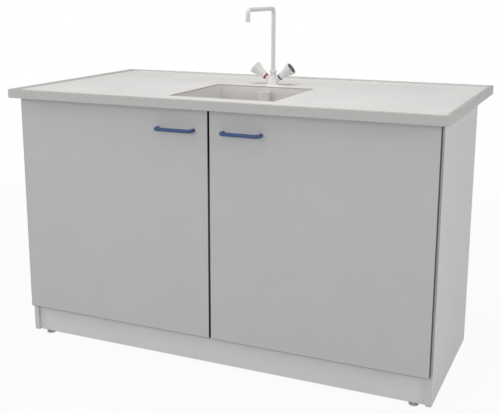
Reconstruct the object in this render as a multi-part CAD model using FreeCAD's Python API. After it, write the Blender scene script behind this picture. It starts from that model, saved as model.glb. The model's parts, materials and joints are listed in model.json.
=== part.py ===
import FreeCAD, Part
import math
import os

# Laboratory sink unit: a two-door laminate cabinet under a rimmed worktop with a welded bowl, an
# overflow standpipe, a bottle trap and a one-hole mixer with two flared handles.
# Millimetres, +Z up. The origin lies on the floor under the middle of the worktop, and the doors
# face -Y. Hot is on the left (-X), cold on the right (+X).

os.makedirs("parts", exist_ok=True)

V = FreeCAD.Vector
ORIGIN = V(0, 0, 0)
UP = V(0, 0, 1)
DOWN = V(0, 0, -1)
FORWARD = V(0, -1, 0)
BACKWARD = V(0, 1, 0)
RIGHT = V(1, 0, 0)
LEFT = V(-1, 0, 0)

# ---------------------------------------------------------------- driving dimensions
# Overall
UNIT_WIDTH = 1500.0
UNIT_DEPTH = 800.0
UNIT_HEIGHT = 900.0

# Fits
RUNNING_GAP = 0.05      # radial, shaft in a hole
SLIDING_GAP = 0.1       # radial, plug or tube in a socket
BODY_GAP = 0.3          # between curved faces of moving pieces
CUT_MARGIN = 1.0        # how far a cutting tool runs past the face it opens

# Worktop
EDGE_HEIGHT = 30.0
EDGE_WIDTH = 12.5
RIM_RISE = 6.0
RIM_ROUND = 1.5
SHEET_THICKNESS = 5.0
OPENING_EASE = 1.0          # round on the sheet's edge over the bowl

# Bowl
BOWL_WIDTH = 374.0
BOWL_LENGTH = 374.0
BOWL_SETBACK = 117.0        # worktop front to bowl
BOWL_DEPTH = 250.0          # work surface to the lowest floor
BOWL_WALL = 5.0
BOWL_FLOOR = 6.0
BOWL_FALL = 6.0             # slope of the floor towards the outlet
BOWL_CORNER_RADIUS = 6.0
BOWL_FLOOR_RADIUS = 4.5
FLANGE_REACH = 22.0
FLANGE_THICKNESS = 5.0
BOWL_CLEARANCE = 1.5        # all round, in the core

# Outlet and standpipe
OUTLET_OFFSET = 8.0         # right of the middle
OUTLET_FROM_BACK = 25.0     # bowl's back wall to the outlet axis
SPIGOT_RADIUS = 23.9
SPIGOT_BORE_RADIUS = 18.0
SPIGOT_LENGTH = 35.0
STANDPIPE_RADIUS = 19.5
STANDPIPE_WALL = 2.5
STANDPIPE_DROP = 16.0       # work surface to the top of the standpipe
STANDPIPE_LIP = 1.0
STANDPIPE_LIP_HEIGHT = 5.0
PLUG_LENGTH = 20.0
SEAL_SECTION_RADIUS = 1.2
SEAL_DEPTH = 12.0           # floor to the seal's middle

# Bottle trap
UNION_WASHER = 3.0
UNION_FLANGE = 3.0
UNION_LIP = 4.0
UNION_NUT_WALL = 7.0
UNION_NUT_HEIGHT = 26.0
UNION_RIBS = 8
UNION_RIB_RADIUS = 2.5
WASTE_RADIUS = 20.0
WASTE_WALL = 2.5
TRAP_NECK_LENGTH = 25.0
TRAP_RADIUS = 38.0
TRAP_WALL = 3.0
TRAP_SHOULDER = 12.0
TRAP_SKIRT = 72.0
TRAP_THREAD_LENGTH = 20.0
TRAP_BRANCH_DROP = 27.0     # top of the skirt to the branch axis
TRAP_CUP_WALL = 3.0
TRAP_CUP_DEPTH = 92.0
TRAP_CUP_DOME = 10.0
TRAP_CUP_RIBS = 16
TRAP_RIB_RADIUS = 1.8
DIP_ABOVE_CUP = 28.0
BRANCH_REACH = 44.0
BRANCH_SOCKET = 24.0
WASTE_END_GAP = 20.0        # pipe end to the worktop's back edge
WASTE_INSERTION = 40.0      # pipe end to the bead that stops it in the building's socket
WASTE_BEAD_RISE = 1.2
WASTE_BEAD_WIDTH = 3.0

# Mixer, heights from the work surface
TAP_BEHIND_BOWL = 74.0
TAP_SEAL_DEPTH = 1.5        # groove in the foot's underside
TAP_SEAL_RADII = (17.8, 19.4)
TAP_FOOT_RADIUS = 20.5
TAP_FOOT_HEIGHT = 2.5
TAP_WAIST_RADIUS = 15.3
TAP_WAIST_HEIGHT = 26.0
TAP_SHOULDER_RADIUS = 10.2
TAP_SHOULDER_HEIGHT = 36.5
TAP_NECK_RADIUS = 9.0
TAP_NECK_HEIGHT = 46.0
SHANK_RADIUS = 16.6
SHANK_LENGTH = 62.0
TAP_HOLE_RADIUS = 17.5
TAP_WASHER_RADIUS = 28.0
TAP_RUBBER_THICKNESS = 3.0
TAP_STEEL_THICKNESS = 2.0
BACKNUT_ACROSS_FLATS = 46.0
BACKNUT_HEIGHT = 8.0
INLET_RADIUS = 4.5
INLET_DEPTH = 12.0
INLET_SPACING = 16.0
COLLAR_RADIUS = 13.6
COLLAR_TOP_RADIUS = 9.8
COLLAR_HEIGHT = 16.0

# Spout
SPOUT_RADIUS = 7.5
SPOUT_WALL = 1.5
SPOUT_HEIGHT = 272.5        # middle of the level run
SPOUT_REACH = 228.0
SPOUT_BEND = 16.0
SPOUT_TIP_HEIGHT = 232.0
SPOUT_SOCKET_DEPTH = 26.0
BEAD_RADIUS = 8.7
BEAD_HEIGHT = 2.0

# Valve heads and handles, lengths along the handle's axis
HANDLE_TILT = 37.3          # degrees above level
HANDLE_ORIGIN_HEIGHT = 6.0  # where the axes meet, above the work surface
BOSS_RADIUS = 10.5
BOSS_LENGTH = 31.0
HEAD_BODY_RADIUS = 7.9
HEAD_BODY_DEPTH = 14.0
HEAD_HEX_ACROSS_FLATS = 18.0
HEAD_HEX_HEIGHT = 1.5
HEAD_GLAND_RADIUS = 6.8
HEAD_GLAND_HEIGHT = 12.0
SPINDLE_RADIUS = 4.0
SPINDLE_LENGTH = 42.0
SPINDLE_SEAT = 2.0          # floor of the head under the spindle
INDEX_RING_RADIUS = 12.0
INDEX_RING_WIDTH = 6.0
HANDLE_LENGTH = 52.0
HANDLE_RADIUS = 23.4
HANDLE_END_ROUND = 3.0
HANDLE_HOLLOW = 0.9         # how far the flank curves in
CAP_RADIUS = 19.0
CAP_THICKNESS = 2.0
CAP_RECESS = 1.0
CAP_RIM_WIDTH = 1.2
CAP_DISH = 0.6              # rim to the dished face
CAP_BUTTON_RADIUS = 8.0
CAP_BUTTON_RISE = 0.8
HANDLE_SCREW_RADIUS = 2.0
HANDLE_SCREW_HEAD_RADIUS = 3.8
HANDLE_SCREW_HEAD = 3.0
HANDLE_SCREW_LENGTH = 24.0

# Cabinet
BOARD = 18.0
SIDE_INSET = 21.0           # worktop end to side panel
CABINET_DEPTH = 554.0
FLOOR_GAP = 9.0
PLINTH_HEIGHT = 100.0
PLINTH_SETBACK = 9.5
FRONT_RAIL_HEIGHT = 50.0
BACK_RAIL_HEIGHT = 100.0
TAP_NOTCH_CLEARANCE = 12.0    # in the back rail, round the backnut

# Doors
DOOR_SETBACK = 33.0         # worktop front to door face
DOOR_THICKNESS = 18.0
DOOR_BACK_GAP = 1.5
SIDE_REVEAL = 6.0
DOOR_MEETING_GAP = 6.0
DOOR_TOP_GAP = 3.0
DOOR_PLINTH_LAP = 1.5
EDGE_BAND = 1.0

# Bow handles
BOW_RADIUS = 6.0
BOW_SPACING = 128.0
BOW_STANDOFF = 27.0
BOW_BEND = 12.0
BOW_INNER_FOOT = 52.0       # middle of the unit to the nearer foot
BOW_BELOW_TOP = 100.5       # worktop top to the bar
BOW_SCREW_RADIUS = 2.0
BOW_SCREW_GRIP = 9.0
PAN_HEAD_RADIUS = 4.0
PAN_HEAD_HEIGHT = 2.4

# Concealed hinges
HINGE_FROM_END = 100.0      # door top and bottom edges to the cups
CUP_RADIUS = 17.5
CUP_DEPTH = 11.5
CUP_WALL = 1.0
CUP_EDGE = 5.0              # door edge to the cup
CUP_PLATE_LENGTH = 62.0
CUP_PLATE_WIDTH = 12.0
CUP_PLATE_THICKNESS = 1.2
CUP_SCREW_SPACING = 48.0
CUP_NOTCH_DEPTH = 2.8       # in the cup's mouth, where the links pass out
CUP_NOTCH_WIDTH = 7.0
ARM_LENGTH = 62.0
ARM_HEIGHT = 10.0
ARM_WALL = 1.5
# The links' pins in plan: across from the side panel's outer face, back from the door's face
OUTER_ARM_PIN = (42.3, 9.9)
OUTER_CUP_PIN = (13.8, 9.5)
INNER_ARM_PIN = (47.0, 24.2)
INNER_CUP_PIN = (14.7, 14.9)
NOSE_ELBOW = (41.5, 22.5)
NOSE_RADIUS = 1.9
NOSE_WALL = 1.0
NOSE_LAP = 8.0
HINGE_PIN_RADIUS = 1.2
LINK_EYE_RADIUS = 2.2
LINK_RADIUS = 1.1
LINK_WIDTH = 2.5
LINK_SIDE_GAP = 0.2         # beside each link
PLATE_THICKNESS = 8.0
PLATE_LENGTH = 44.0
PLATE_WIDTH = 16.0
PLATE_WING = 46.0
PLATE_WING_WIDTH = 12.0
PLATE_WING_THICKNESS = 2.0
PLATE_FROM_FRONT = 37.0
PLATE_SCREW_SPACING = 32.0
WOOD_SCREW_RADIUS = 1.75
WOOD_SCREW_HEAD_RADIUS = 3.4
WOOD_SCREW_HEAD = 1.6
WOOD_SCREW_LENGTH = 12.0
ARM_SCREW_RADIUS = 2.0
ARM_SCREW_HEAD_RADIUS = 3.6
ARM_SCREW_HEAD = 2.0
ARM_SCREW_SPACING = 26.0
ARM_SCREW_GRIP = 5.0        # in the plate

# Drivers' cross recesses in screws and cams
RECESS_WIDTH = 1.0
RECESS_DEPTH = 1.0
SCREW_RECESS_SPAN = 4.0
CAM_RECESS_SPAN = 8.0

# Cam fittings that draw the boards' ends to the side panels
CAM_RADIUS = 7.5
CAM_DEPTH = 12.5            # board's face to the cam's inner end
CAM_FROM_END = 24.0         # side panel to the cam's axis
CAM_BOLT_RADIUS = 3.0
CAM_BOLT_GRIP = 11.0        # in the side panel
CAM_NECK_RADIUS = 2.0
CAM_HEAD_RADIUS = 3.2
CAM_HEAD_LENGTH = 4.0
CAM_FROM_EDGE = 30.0        # long edge of a rail or plinth to its cam
PANEL_CAM_FROM_EDGE = 60.0  # the same in the bottom panel

# Worktop brackets
BRACKET_LEG = 30.0
BRACKET_WIDTH = 20.0
BRACKET_THICKNESS = 2.0
BRACKETS_PER_SIDE = 3
BRACKET_END_GAP = 90.0

# Levelling feet
FOOT_INSET = 57.0           # side panel's outer face to the foot axis
FOOT_RADIUS = 15.0
FOOT_PAD_HEIGHT = 5.0
FOOT_EDGE_ROUND = 1.5
FOOT_HEX_ACROSS_FLATS = 13.0
STUD_RADIUS = 4.0
STUD_LENGTH = 30.0
INSERT_RADIUS = 6.0
INSERT_FLANGE_RADIUS = 8.0
INSERT_FLANGE = 1.0
INSERT_LENGTH = 40.0

# ---------------------------------------------------------------- derived places
HALF_WIDTH = UNIT_WIDTH / 2
FRONT = -UNIT_DEPTH / 2
BACK = UNIT_DEPTH / 2
WORK_SURFACE = UNIT_HEIGHT - RIM_RISE
SHEET_BOTTOM = WORK_SURFACE - SHEET_THICKNESS
WORKTOP_BOTTOM = UNIT_HEIGHT - EDGE_HEIGHT

BOWL_FRONT = FRONT + BOWL_SETBACK
BOWL_BACK = BOWL_FRONT + BOWL_LENGTH
BOWL_FLOOR_TOP = WORK_SURFACE - BOWL_DEPTH
BOWL_BOTTOM = BOWL_FLOOR_TOP - BOWL_FLOOR
OUTLET_Y = BOWL_BACK - OUTLET_FROM_BACK
SPIGOT_END = BOWL_BOTTOM - SPIGOT_LENGTH

TAP_Y = BOWL_BACK + TAP_BEHIND_BOWL

SIDE_OUTER = HALF_WIDTH - SIDE_INSET
SIDE_INNER = SIDE_OUTER - BOARD
DOOR_FACE = FRONT + DOOR_SETBACK
DOOR_BACK = DOOR_FACE + DOOR_THICKNESS
CABINET_FRONT = DOOR_BACK + DOOR_BACK_GAP
CABINET_BACK = CABINET_FRONT + CABINET_DEPTH
PLINTH_TOP = FLOOR_GAP + PLINTH_HEIGHT
PLINTH_FACE = CABINET_FRONT + PLINTH_SETBACK
SHELF_TOP = PLINTH_TOP + BOARD
DOOR_BOTTOM = PLINTH_TOP - DOOR_PLINTH_LAP
DOOR_TOP = WORKTOP_BOTTOM - DOOR_TOP_GAP
DOOR_OUTER = SIDE_OUTER - SIDE_REVEAL
DOOR_INNER = DOOR_MEETING_GAP / 2

BOW_Z = UNIT_HEIGHT - BOW_BELOW_TOP
BOW_FEET = (BOW_INNER_FOOT, BOW_INNER_FOOT + BOW_SPACING)
HINGE_HEIGHTS = (DOOR_BOTTOM + HINGE_FROM_END, DOOR_TOP - HINGE_FROM_END)
FOOT_X = SIDE_OUTER - FOOT_INSET
FOOT_YS = (PLINTH_FACE + BOARD / 2, CABINET_BACK - BOARD / 2)


# ---------------------------------------------------------------- solids
def box(x, y, z):
    """A block from three (low, high) pairs."""
    corner = V(min(x), min(y), min(z))
    return Part.makeBox(abs(x[1] - x[0]), abs(y[1] - y[0]), abs(z[1] - z[0]), corner)


def rod(radius, base, direction, length):
    """A cylinder that starts at base."""
    return Part.makeCylinder(radius, length, base, direction)


def tube(outer, inner, base, direction, length):
    """A ring or pipe."""
    return rod(outer, base, direction, length).cut(rod(inner, base, direction, length))


def turned(profile, base=ORIGIN, direction=UP):
    """A solid turned from (radius, height) points, with its axis through base."""
    points = [V(radius, 0, height) for radius, height in profile]
    face = Part.Face(Part.makePolygon(points + points[:1]))
    return placed(face.revolve(ORIGIN, UP, 360), base, direction)


def placed(shape, base, direction):
    """Turn +Z to a direction and move the origin to base."""
    shape.Placement = FreeCAD.Placement(base, FreeCAD.Rotation(UP, direction))
    return shape


def hexagon(across_flats, height, base, direction=UP):
    """A hexagonal prism."""
    radius = across_flats / math.sqrt(3)
    corners = [V(radius * math.cos(math.radians(a)), radius * math.sin(math.radians(a)), 0)
               for a in range(0, 360, 60)]
    face = Part.Face(Part.makePolygon(corners + corners[:1]))
    return placed(face.extrude(V(0, 0, height)), base, direction)


def joined(first, *others):
    """One solid from several that touch."""
    return first.fuse(list(others)).removeSplitter()


def cross_recess(seat, direction, span):
    """A driver's cross, sunk from seat along direction."""
    half, slot = span / 2, RECESS_WIDTH / 2
    cross = joined(box((-half, half), (-slot, slot), (0, RECESS_DEPTH)),
                   box((-slot, slot), (-half, half), (0, RECESS_DEPTH)))
    return placed(cross, seat, direction)


def mirrored(shape):
    """The same piece on the other side of the unit."""
    return shape.mirror(ORIGIN, RIGHT)


def both_sides(shape):
    """A piece and its mirror image, as two solids."""
    return [shape, mirrored(shape)]


def round_edges(shape, radius, wanted):
    """Fillet the edges that a test picks out."""
    return shape.makeFillet(radius, [edge for edge in shape.Edges if wanted(edge)])


def is_upright(edge):
    start, end = edge.Vertexes[0].Point, edge.Vertexes[-1].Point
    return abs(start.x - end.x) < 0.01 and abs(start.y - end.y) < 0.01


def pipe(path_points, radius, bend):
    """A round bar along straight runs joined by arcs of one radius."""
    edges = []
    start = path_points[0]
    for before, corner, after in zip(path_points, path_points[1:], path_points[2:]):
        into = (corner - before).normalize()
        out = (after - corner).normalize()
        turn = into.getAngle(out)
        setback = bend * math.tan(turn / 2)
        arc_start = corner - into * setback
        arc_end = corner + out * setback
        bisector = (out - into).normalize()
        arc_centre = corner + bisector * (bend / math.cos(turn / 2))
        arc_middle = arc_centre - bisector * bend
        edges.append(Part.LineSegment(start, arc_start).toShape())
        edges.append(Part.Arc(arc_start, arc_middle, arc_end).toShape())
        start = arc_end
    edges.append(Part.LineSegment(start, path_points[-1]).toShape())
    direction = (path_points[1] - path_points[0]).normalize()
    section = Part.Wire([Part.Circle(path_points[0], direction, radius).toShape()])
    return Part.Wire(edges).makePipeShell([section], True, False)


# ---------------------------------------------------------------- worktop
def edge_strips():
    """Four mitred strips that stand up round the sheet as a spill rim."""
    frame = box((-HALF_WIDTH, HALF_WIDTH), (FRONT, BACK), (WORKTOP_BOTTOM, UNIT_HEIGHT))
    inside = box((EDGE_WIDTH - HALF_WIDTH, HALF_WIDTH - EDGE_WIDTH),
                 (FRONT + EDGE_WIDTH, BACK - EDGE_WIDTH),
                 (WORKTOP_BOTTOM - CUT_MARGIN, UNIT_HEIGHT + CUT_MARGIN))
    frame = frame.cut(inside)
    frame = round_edges(frame, RIM_ROUND, lambda edge: edge.BoundBox.ZMin > WORK_SURFACE)
    reach = 2 * EDGE_WIDTH
    strips = {}
    for name, x_sign, y_sign in (("front", 0, -1), ("back", 0, 1), ("left", -1, 0), ("right", 1, 0)):
        if x_sign:
            near, far, half = HALF_WIDTH - reach, HALF_WIDTH + reach, BACK
            corners = [V(x_sign * near, -half + reach, 0), V(x_sign * near, half - reach, 0),
                       V(x_sign * far, half + reach, 0), V(x_sign * far, -half - reach, 0)]
        else:
            near, far, half = BACK - reach, BACK + reach, HALF_WIDTH
            corners = [V(-half + reach, y_sign * near, 0), V(half - reach, y_sign * near, 0),
                       V(half + reach, y_sign * far, 0), V(-half - reach, y_sign * far, 0)]
        wedge = Part.Face(Part.makePolygon(corners + corners[:1])).extrude(V(0, 0, 2 * UNIT_HEIGHT))
        strips[name] = frame.common(wedge)
    return strips


def bowl_opening(grow, low, high):
    """The bowl's plan, grown all round, between two heights."""
    half = BOWL_WIDTH / 2 + grow
    block = box((-half, half), (BOWL_FRONT - grow, BOWL_BACK + grow), (low, high))
    return round_edges(block, BOWL_CORNER_RADIUS + grow, is_upright)


def tap_hole(low, high):
    return rod(TAP_HOLE_RADIUS, V(0, TAP_Y, low), UP, high - low)


def worktop_plan(low, high):
    return box((EDGE_WIDTH - HALF_WIDTH, HALF_WIDTH - EDGE_WIDTH),
               (FRONT + EDGE_WIDTH, BACK - EDGE_WIDTH), (low, high))


def worktop_sheet():
    """Welded plastic sheet that carries the bowl."""
    low, high = SHEET_BOTTOM - CUT_MARGIN, WORK_SURFACE + CUT_MARGIN
    sheet = worktop_plan(SHEET_BOTTOM, WORK_SURFACE).cut(bowl_opening(0, low, high))
    reach = BOWL_WIDTH / 2 + CUT_MARGIN
    sheet = round_edges(sheet, OPENING_EASE, lambda edge: edge.BoundBox.ZMin > SHEET_BOTTOM + CUT_MARGIN
                        and -reach < edge.BoundBox.XMin and edge.BoundBox.XMax < reach)
    return sheet.cut(tap_hole(low, high))


def worktop_core():
    """Board under the sheet, rebated for the bowl's flange."""
    flange = BOWL_WALL + FLANGE_REACH + BOWL_CLEARANCE
    low = WORKTOP_BOTTOM - CUT_MARGIN
    core = worktop_plan(WORKTOP_BOTTOM, SHEET_BOTTOM)
    cuts = [bowl_opening(BOWL_WALL + BOWL_CLEARANCE, low, SHEET_BOTTOM + CUT_MARGIN),
            bowl_opening(flange, SHEET_BOTTOM - FLANGE_THICKNESS, SHEET_BOTTOM + CUT_MARGIN),
            tap_hole(low, SHEET_BOTTOM + CUT_MARGIN)]
    cuts += [screw_shank(*place) for place in bracket_screw_places() if place[1] == UP]
    return core.cut(cuts)


# ---------------------------------------------------------------- bowl and standpipe
def bowl_block(grow, top):
    """The bowl's inside, grown by a wall: a flat part round the outlet and a fall towards it."""
    flat_from = OUTLET_Y - 2 * SPIGOT_RADIUS
    half = BOWL_WIDTH / 2 + grow
    floor = BOWL_FLOOR_TOP - (BOWL_FLOOR if grow else 0)
    side = [V(-half, BOWL_FRONT - grow, floor + BOWL_FALL), V(-half, flat_from, floor),
            V(-half, BOWL_BACK + grow, floor), V(-half, BOWL_BACK + grow, top),
            V(-half, BOWL_FRONT - grow, top)]
    block = Part.Face(Part.makePolygon(side + side[:1])).extrude(V(2 * half, 0, 0))
    block = round_edges(block, BOWL_CORNER_RADIUS + grow, is_upright)

    def is_floor(edge):
        box_ = edge.BoundBox
        low = box_.ZMax < floor + BOWL_FALL + BOWL_CORNER_RADIUS
        across_fold = abs(box_.YMin - flat_from) < 0.01 and abs(box_.YMax - flat_from) < 0.01
        return low and not across_fold

    return round_edges(block, BOWL_FLOOR_RADIUS + grow, is_floor)


def sink_bowl():
    flange = bowl_opening(BOWL_WALL + FLANGE_REACH, SHEET_BOTTOM - FLANGE_THICKNESS, SHEET_BOTTOM)
    outlet = V(OUTLET_OFFSET, OUTLET_Y, SPIGOT_END)
    spigot = rod(SPIGOT_RADIUS, outlet, UP, SPIGOT_LENGTH + BOWL_FLOOR / 2)
    outside = joined(bowl_block(BOWL_WALL, SHEET_BOTTOM), flange, spigot)
    bore = rod(SPIGOT_BORE_RADIUS, outlet - UP * CUT_MARGIN, UP, BOWL_DEPTH)
    return outside.cut([bowl_block(0, SHEET_BOTTOM + CUT_MARGIN), bore])


def standpipe():
    """Overflow pipe whose plugged foot closes the outlet."""
    floor, top = BOWL_FLOOR_TOP, WORK_SURFACE - STANDPIPE_DROP
    plug = SPIGOT_BORE_RADIUS - SLIDING_GAP
    groove = plug - 2 * SEAL_SECTION_RADIUS
    bore = STANDPIPE_RADIUS - STANDPIPE_WALL - STANDPIPE_LIP
    lip = STANDPIPE_RADIUS + STANDPIPE_LIP
    profile = [
        (bore - STANDPIPE_WALL, floor - PLUG_LENGTH),
        (plug - SEAL_SECTION_RADIUS, floor - PLUG_LENGTH),
        (plug, floor - SEAL_DEPTH - 2 * SEAL_SECTION_RADIUS),
        (plug, floor - SEAL_DEPTH - SEAL_SECTION_RADIUS),
        (groove, floor - SEAL_DEPTH - SEAL_SECTION_RADIUS),
        (groove, floor - SEAL_DEPTH + SEAL_SECTION_RADIUS),
        (plug, floor - SEAL_DEPTH + SEAL_SECTION_RADIUS),
        (plug, floor),
        (STANDPIPE_RADIUS, floor),
        (STANDPIPE_RADIUS, top - STANDPIPE_LIP_HEIGHT),
        (lip, top - STANDPIPE_LIP_HEIGHT + STANDPIPE_LIP),
        (lip, top - STANDPIPE_LIP),
        (lip - STANDPIPE_LIP, top),
        (bore + STANDPIPE_LIP, top),
        (bore, top - STANDPIPE_LIP),
        (bore, floor),
        (bore - STANDPIPE_WALL, floor),
    ]
    return turned(profile, V(OUTLET_OFFSET, OUTLET_Y, 0))


def standpipe_seal():
    middle = SPIGOT_BORE_RADIUS - SLIDING_GAP - SEAL_SECTION_RADIUS
    centre = V(OUTLET_OFFSET, OUTLET_Y, BOWL_FLOOR_TOP - SEAL_DEPTH)
    return Part.makeTorus(middle, SEAL_SECTION_RADIUS, centre, UP)


# ---------------------------------------------------------------- bottle trap
TRAP_AXIS = V(OUTLET_OFFSET, OUTLET_Y, 0)
TRAP_FLANGE_TOP = SPIGOT_END - UNION_WASHER
TRAP_TOP = TRAP_FLANGE_TOP - TRAP_NECK_LENGTH
TRAP_SKIRT_TOP = TRAP_TOP - TRAP_SHOULDER
TRAP_SKIRT_END = TRAP_SKIRT_TOP - TRAP_SKIRT
TRAP_CUP_TOP = TRAP_SKIRT_END + TRAP_THREAD_LENGTH
TRAP_CUP_BASE = TRAP_CUP_TOP - TRAP_CUP_DEPTH
BRANCH_Z = TRAP_SKIRT_TOP - TRAP_BRANCH_DROP
BRANCH_END = OUTLET_Y + TRAP_RADIUS + BRANCH_REACH
WASTE_BORE = WASTE_RADIUS - WASTE_WALL
UNION_SEAT_RADIUS = SPIGOT_RADIUS - BODY_GAP


def grip_ribs(count, rib_radius, pitch_radius, base, direction, length):
    """Round ribs set evenly about an axis."""
    across = FreeCAD.Rotation(UP, direction)
    ribs = []
    for index in range(count):
        angle = 2 * math.pi * index / count
        offset = across.multVec(V(pitch_radius * math.cos(angle), pitch_radius * math.sin(angle), 0))
        ribs.append(rod(rib_radius, base + offset, direction, length))
    return ribs


def union_nut(seat, direction):
    """Ribbed nut over a spigot of the outlet's size. Its lip draws a flange against the seat."""
    bore = SPIGOT_RADIUS + SLIDING_GAP
    outer = bore + UNION_NUT_WALL
    below = UNION_WASHER + UNION_FLANGE
    base = seat - direction * (below + UNION_LIP)
    ribs = grip_ribs(UNION_RIBS, UNION_RIB_RADIUS, outer, base, direction, UNION_NUT_HEIGHT)
    nut = joined(rod(outer, base, direction, UNION_NUT_HEIGHT), *ribs)
    return nut.cut([rod(bore, base + direction * UNION_LIP, direction, UNION_NUT_HEIGHT),
                    rod(WASTE_RADIUS + BODY_GAP, base, direction, UNION_NUT_HEIGHT)])


def trap_nuts():
    return [union_nut(V(OUTLET_OFFSET, OUTLET_Y, SPIGOT_END), UP),
            union_nut(V(OUTLET_OFFSET, BRANCH_END, BRANCH_Z), FORWARD)]


def trap_washers():
    inlet = tube(UNION_SEAT_RADIUS, WASTE_BORE, V(OUTLET_OFFSET, OUTLET_Y, SPIGOT_END), DOWN, UNION_WASHER)
    outlet = tube(UNION_SEAT_RADIUS, WASTE_RADIUS, V(OUTLET_OFFSET, BRANCH_END, BRANCH_Z), BACKWARD,
                  UNION_WASHER)
    cup = tube(TRAP_RADIUS, TRAP_RADIUS - TRAP_WALL, TRAP_AXIS + UP * TRAP_SKIRT_END, DOWN, UNION_WASHER)
    return [inlet, outlet, cup]


def trap_body():
    """Inlet neck with dip pipe, shoulder, threaded skirt and side branch."""
    dip_end = TRAP_CUP_BASE + DIP_ABOVE_CUP
    skirt_bore = TRAP_RADIUS - TRAP_WALL
    flange = TRAP_FLANGE_TOP - UNION_FLANGE
    outside = turned([(0, TRAP_FLANGE_TOP), (UNION_SEAT_RADIUS, TRAP_FLANGE_TOP),
                      (UNION_SEAT_RADIUS, flange), (WASTE_RADIUS, flange), (WASTE_RADIUS, TRAP_TOP),
                      (TRAP_RADIUS, TRAP_SKIRT_TOP), (TRAP_RADIUS, TRAP_SKIRT_END), (0, TRAP_SKIRT_END)],
                     TRAP_AXIS)
    branch_base = V(OUTLET_OFFSET, OUTLET_Y, BRANCH_Z)
    branch = rod(WASTE_RADIUS, branch_base, BACKWARD, BRANCH_END - OUTLET_Y)
    socket_base = V(OUTLET_OFFSET, BRANCH_END - BRANCH_SOCKET, BRANCH_Z)
    socket = rod(SPIGOT_RADIUS, socket_base, BACKWARD, BRANCH_SOCKET)
    chamber = turned([(0, TRAP_TOP - TRAP_WALL), (WASTE_RADIUS, TRAP_TOP - TRAP_WALL),
                      (skirt_bore, TRAP_SKIRT_TOP - TRAP_WALL), (skirt_bore, TRAP_SKIRT_END - CUT_MARGIN),
                      (0, TRAP_SKIRT_END - CUT_MARGIN)], TRAP_AXIS)
    branch_bore = rod(WASTE_BORE, branch_base, BACKWARD, BRANCH_END)
    socket_bore = rod(WASTE_RADIUS + SLIDING_GAP, socket_base + BACKWARD * WASTE_WALL, BACKWARD,
                      BRANCH_SOCKET)
    shell = joined(outside, branch, socket).cut([chamber, branch_bore, socket_bore])
    dip = rod(WASTE_RADIUS, TRAP_AXIS + UP * dip_end, UP, TRAP_TOP - dip_end)
    inlet_bore = rod(WASTE_BORE, TRAP_AXIS + UP * dip_end, UP, TRAP_FLANGE_TOP - dip_end)
    return joined(shell, dip).cut(inlet_bore)


def trap_cup():
    """Ribbed cup that screws over the skirt and lifts the seal against its end."""
    inner = TRAP_RADIUS + SLIDING_GAP
    outer = inner + TRAP_CUP_WALL
    seat = TRAP_SKIRT_END - UNION_WASHER
    bore = TRAP_RADIUS - TRAP_WALL
    cup = turned([(0, TRAP_CUP_BASE - TRAP_CUP_WALL), (bore - TRAP_CUP_DOME, TRAP_CUP_BASE - TRAP_CUP_WALL),
                  (outer - TRAP_CUP_WALL, TRAP_CUP_BASE + TRAP_CUP_DOME), (outer, seat - TRAP_CUP_WALL),
                  (outer, TRAP_CUP_TOP), (inner, TRAP_CUP_TOP), (inner, seat), (bore, seat),
                  (bore, TRAP_CUP_BASE + TRAP_CUP_DOME), (bore - TRAP_CUP_DOME, TRAP_CUP_BASE),
                  (0, TRAP_CUP_BASE)], TRAP_AXIS)
    foot = TRAP_AXIS + UP * (seat - TRAP_CUP_WALL)
    ribs = grip_ribs(TRAP_CUP_RIBS, TRAP_RIB_RADIUS, outer, foot, UP, TRAP_CUP_TOP - foot.z)
    return joined(cup, *ribs)


def waste_pipe():
    """Pipe from the trap's branch to the services behind the cabinet."""
    start = V(OUTLET_OFFSET, BRANCH_END - BRANCH_SOCKET + 2 * WASTE_WALL, BRANCH_Z)
    length = BACK - WASTE_END_GAP - start.y
    bead_start = start + BACKWARD * (length - WASTE_INSERTION - WASTE_BEAD_WIDTH)
    bead = tube(WASTE_RADIUS + WASTE_BEAD_RISE, WASTE_BORE, bead_start, BACKWARD, WASTE_BEAD_WIDTH)
    return joined(tube(WASTE_RADIUS, WASTE_BORE, start, BACKWARD, length), bead)


# ---------------------------------------------------------------- mixer
TAP_AXIS = V(0, TAP_Y, 0)
TILT = math.radians(HANDLE_TILT)
HANDLE_CENTRE = V(0, TAP_Y, WORK_SURFACE + HANDLE_ORIGIN_HEIGHT)
HOT_AXIS = V(-math.cos(TILT), 0, math.sin(TILT))
NECK_TOP = WORK_SURFACE + TAP_NECK_HEIGHT
SHOULDER_TOP = WORK_SURFACE + TAP_SHOULDER_HEIGHT
SPOUT_FOOT = NECK_TOP - SPOUT_SOCKET_DEPTH
HEAD_BASE = BOSS_LENGTH - HEAD_BODY_DEPTH
HEX_TOP = BOSS_LENGTH + HEAD_HEX_HEIGHT
GLAND_TOP = HEX_TOP + HEAD_GLAND_HEIGHT
SPINDLE_START = HEAD_BASE + SPINDLE_SEAT
SPINDLE_TOP = SPINDLE_START + SPINDLE_LENGTH
RING_START = HEX_TOP + BODY_GAP
HANDLE_START = RING_START + INDEX_RING_WIDTH
HANDLE_TOP = HANDLE_START + HANDLE_LENGTH
CAP_SEAT = HANDLE_TOP - CAP_RECESS - CAP_THICKNESS
SCREW_SEAT = SPINDLE_TOP + CAP_THICKNESS


def on_hot_axis(profile):
    """Turn (radius, distance) points about the hot handle's axis."""
    return turned(profile, HANDLE_CENTRE, HOT_AXIS)


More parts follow.
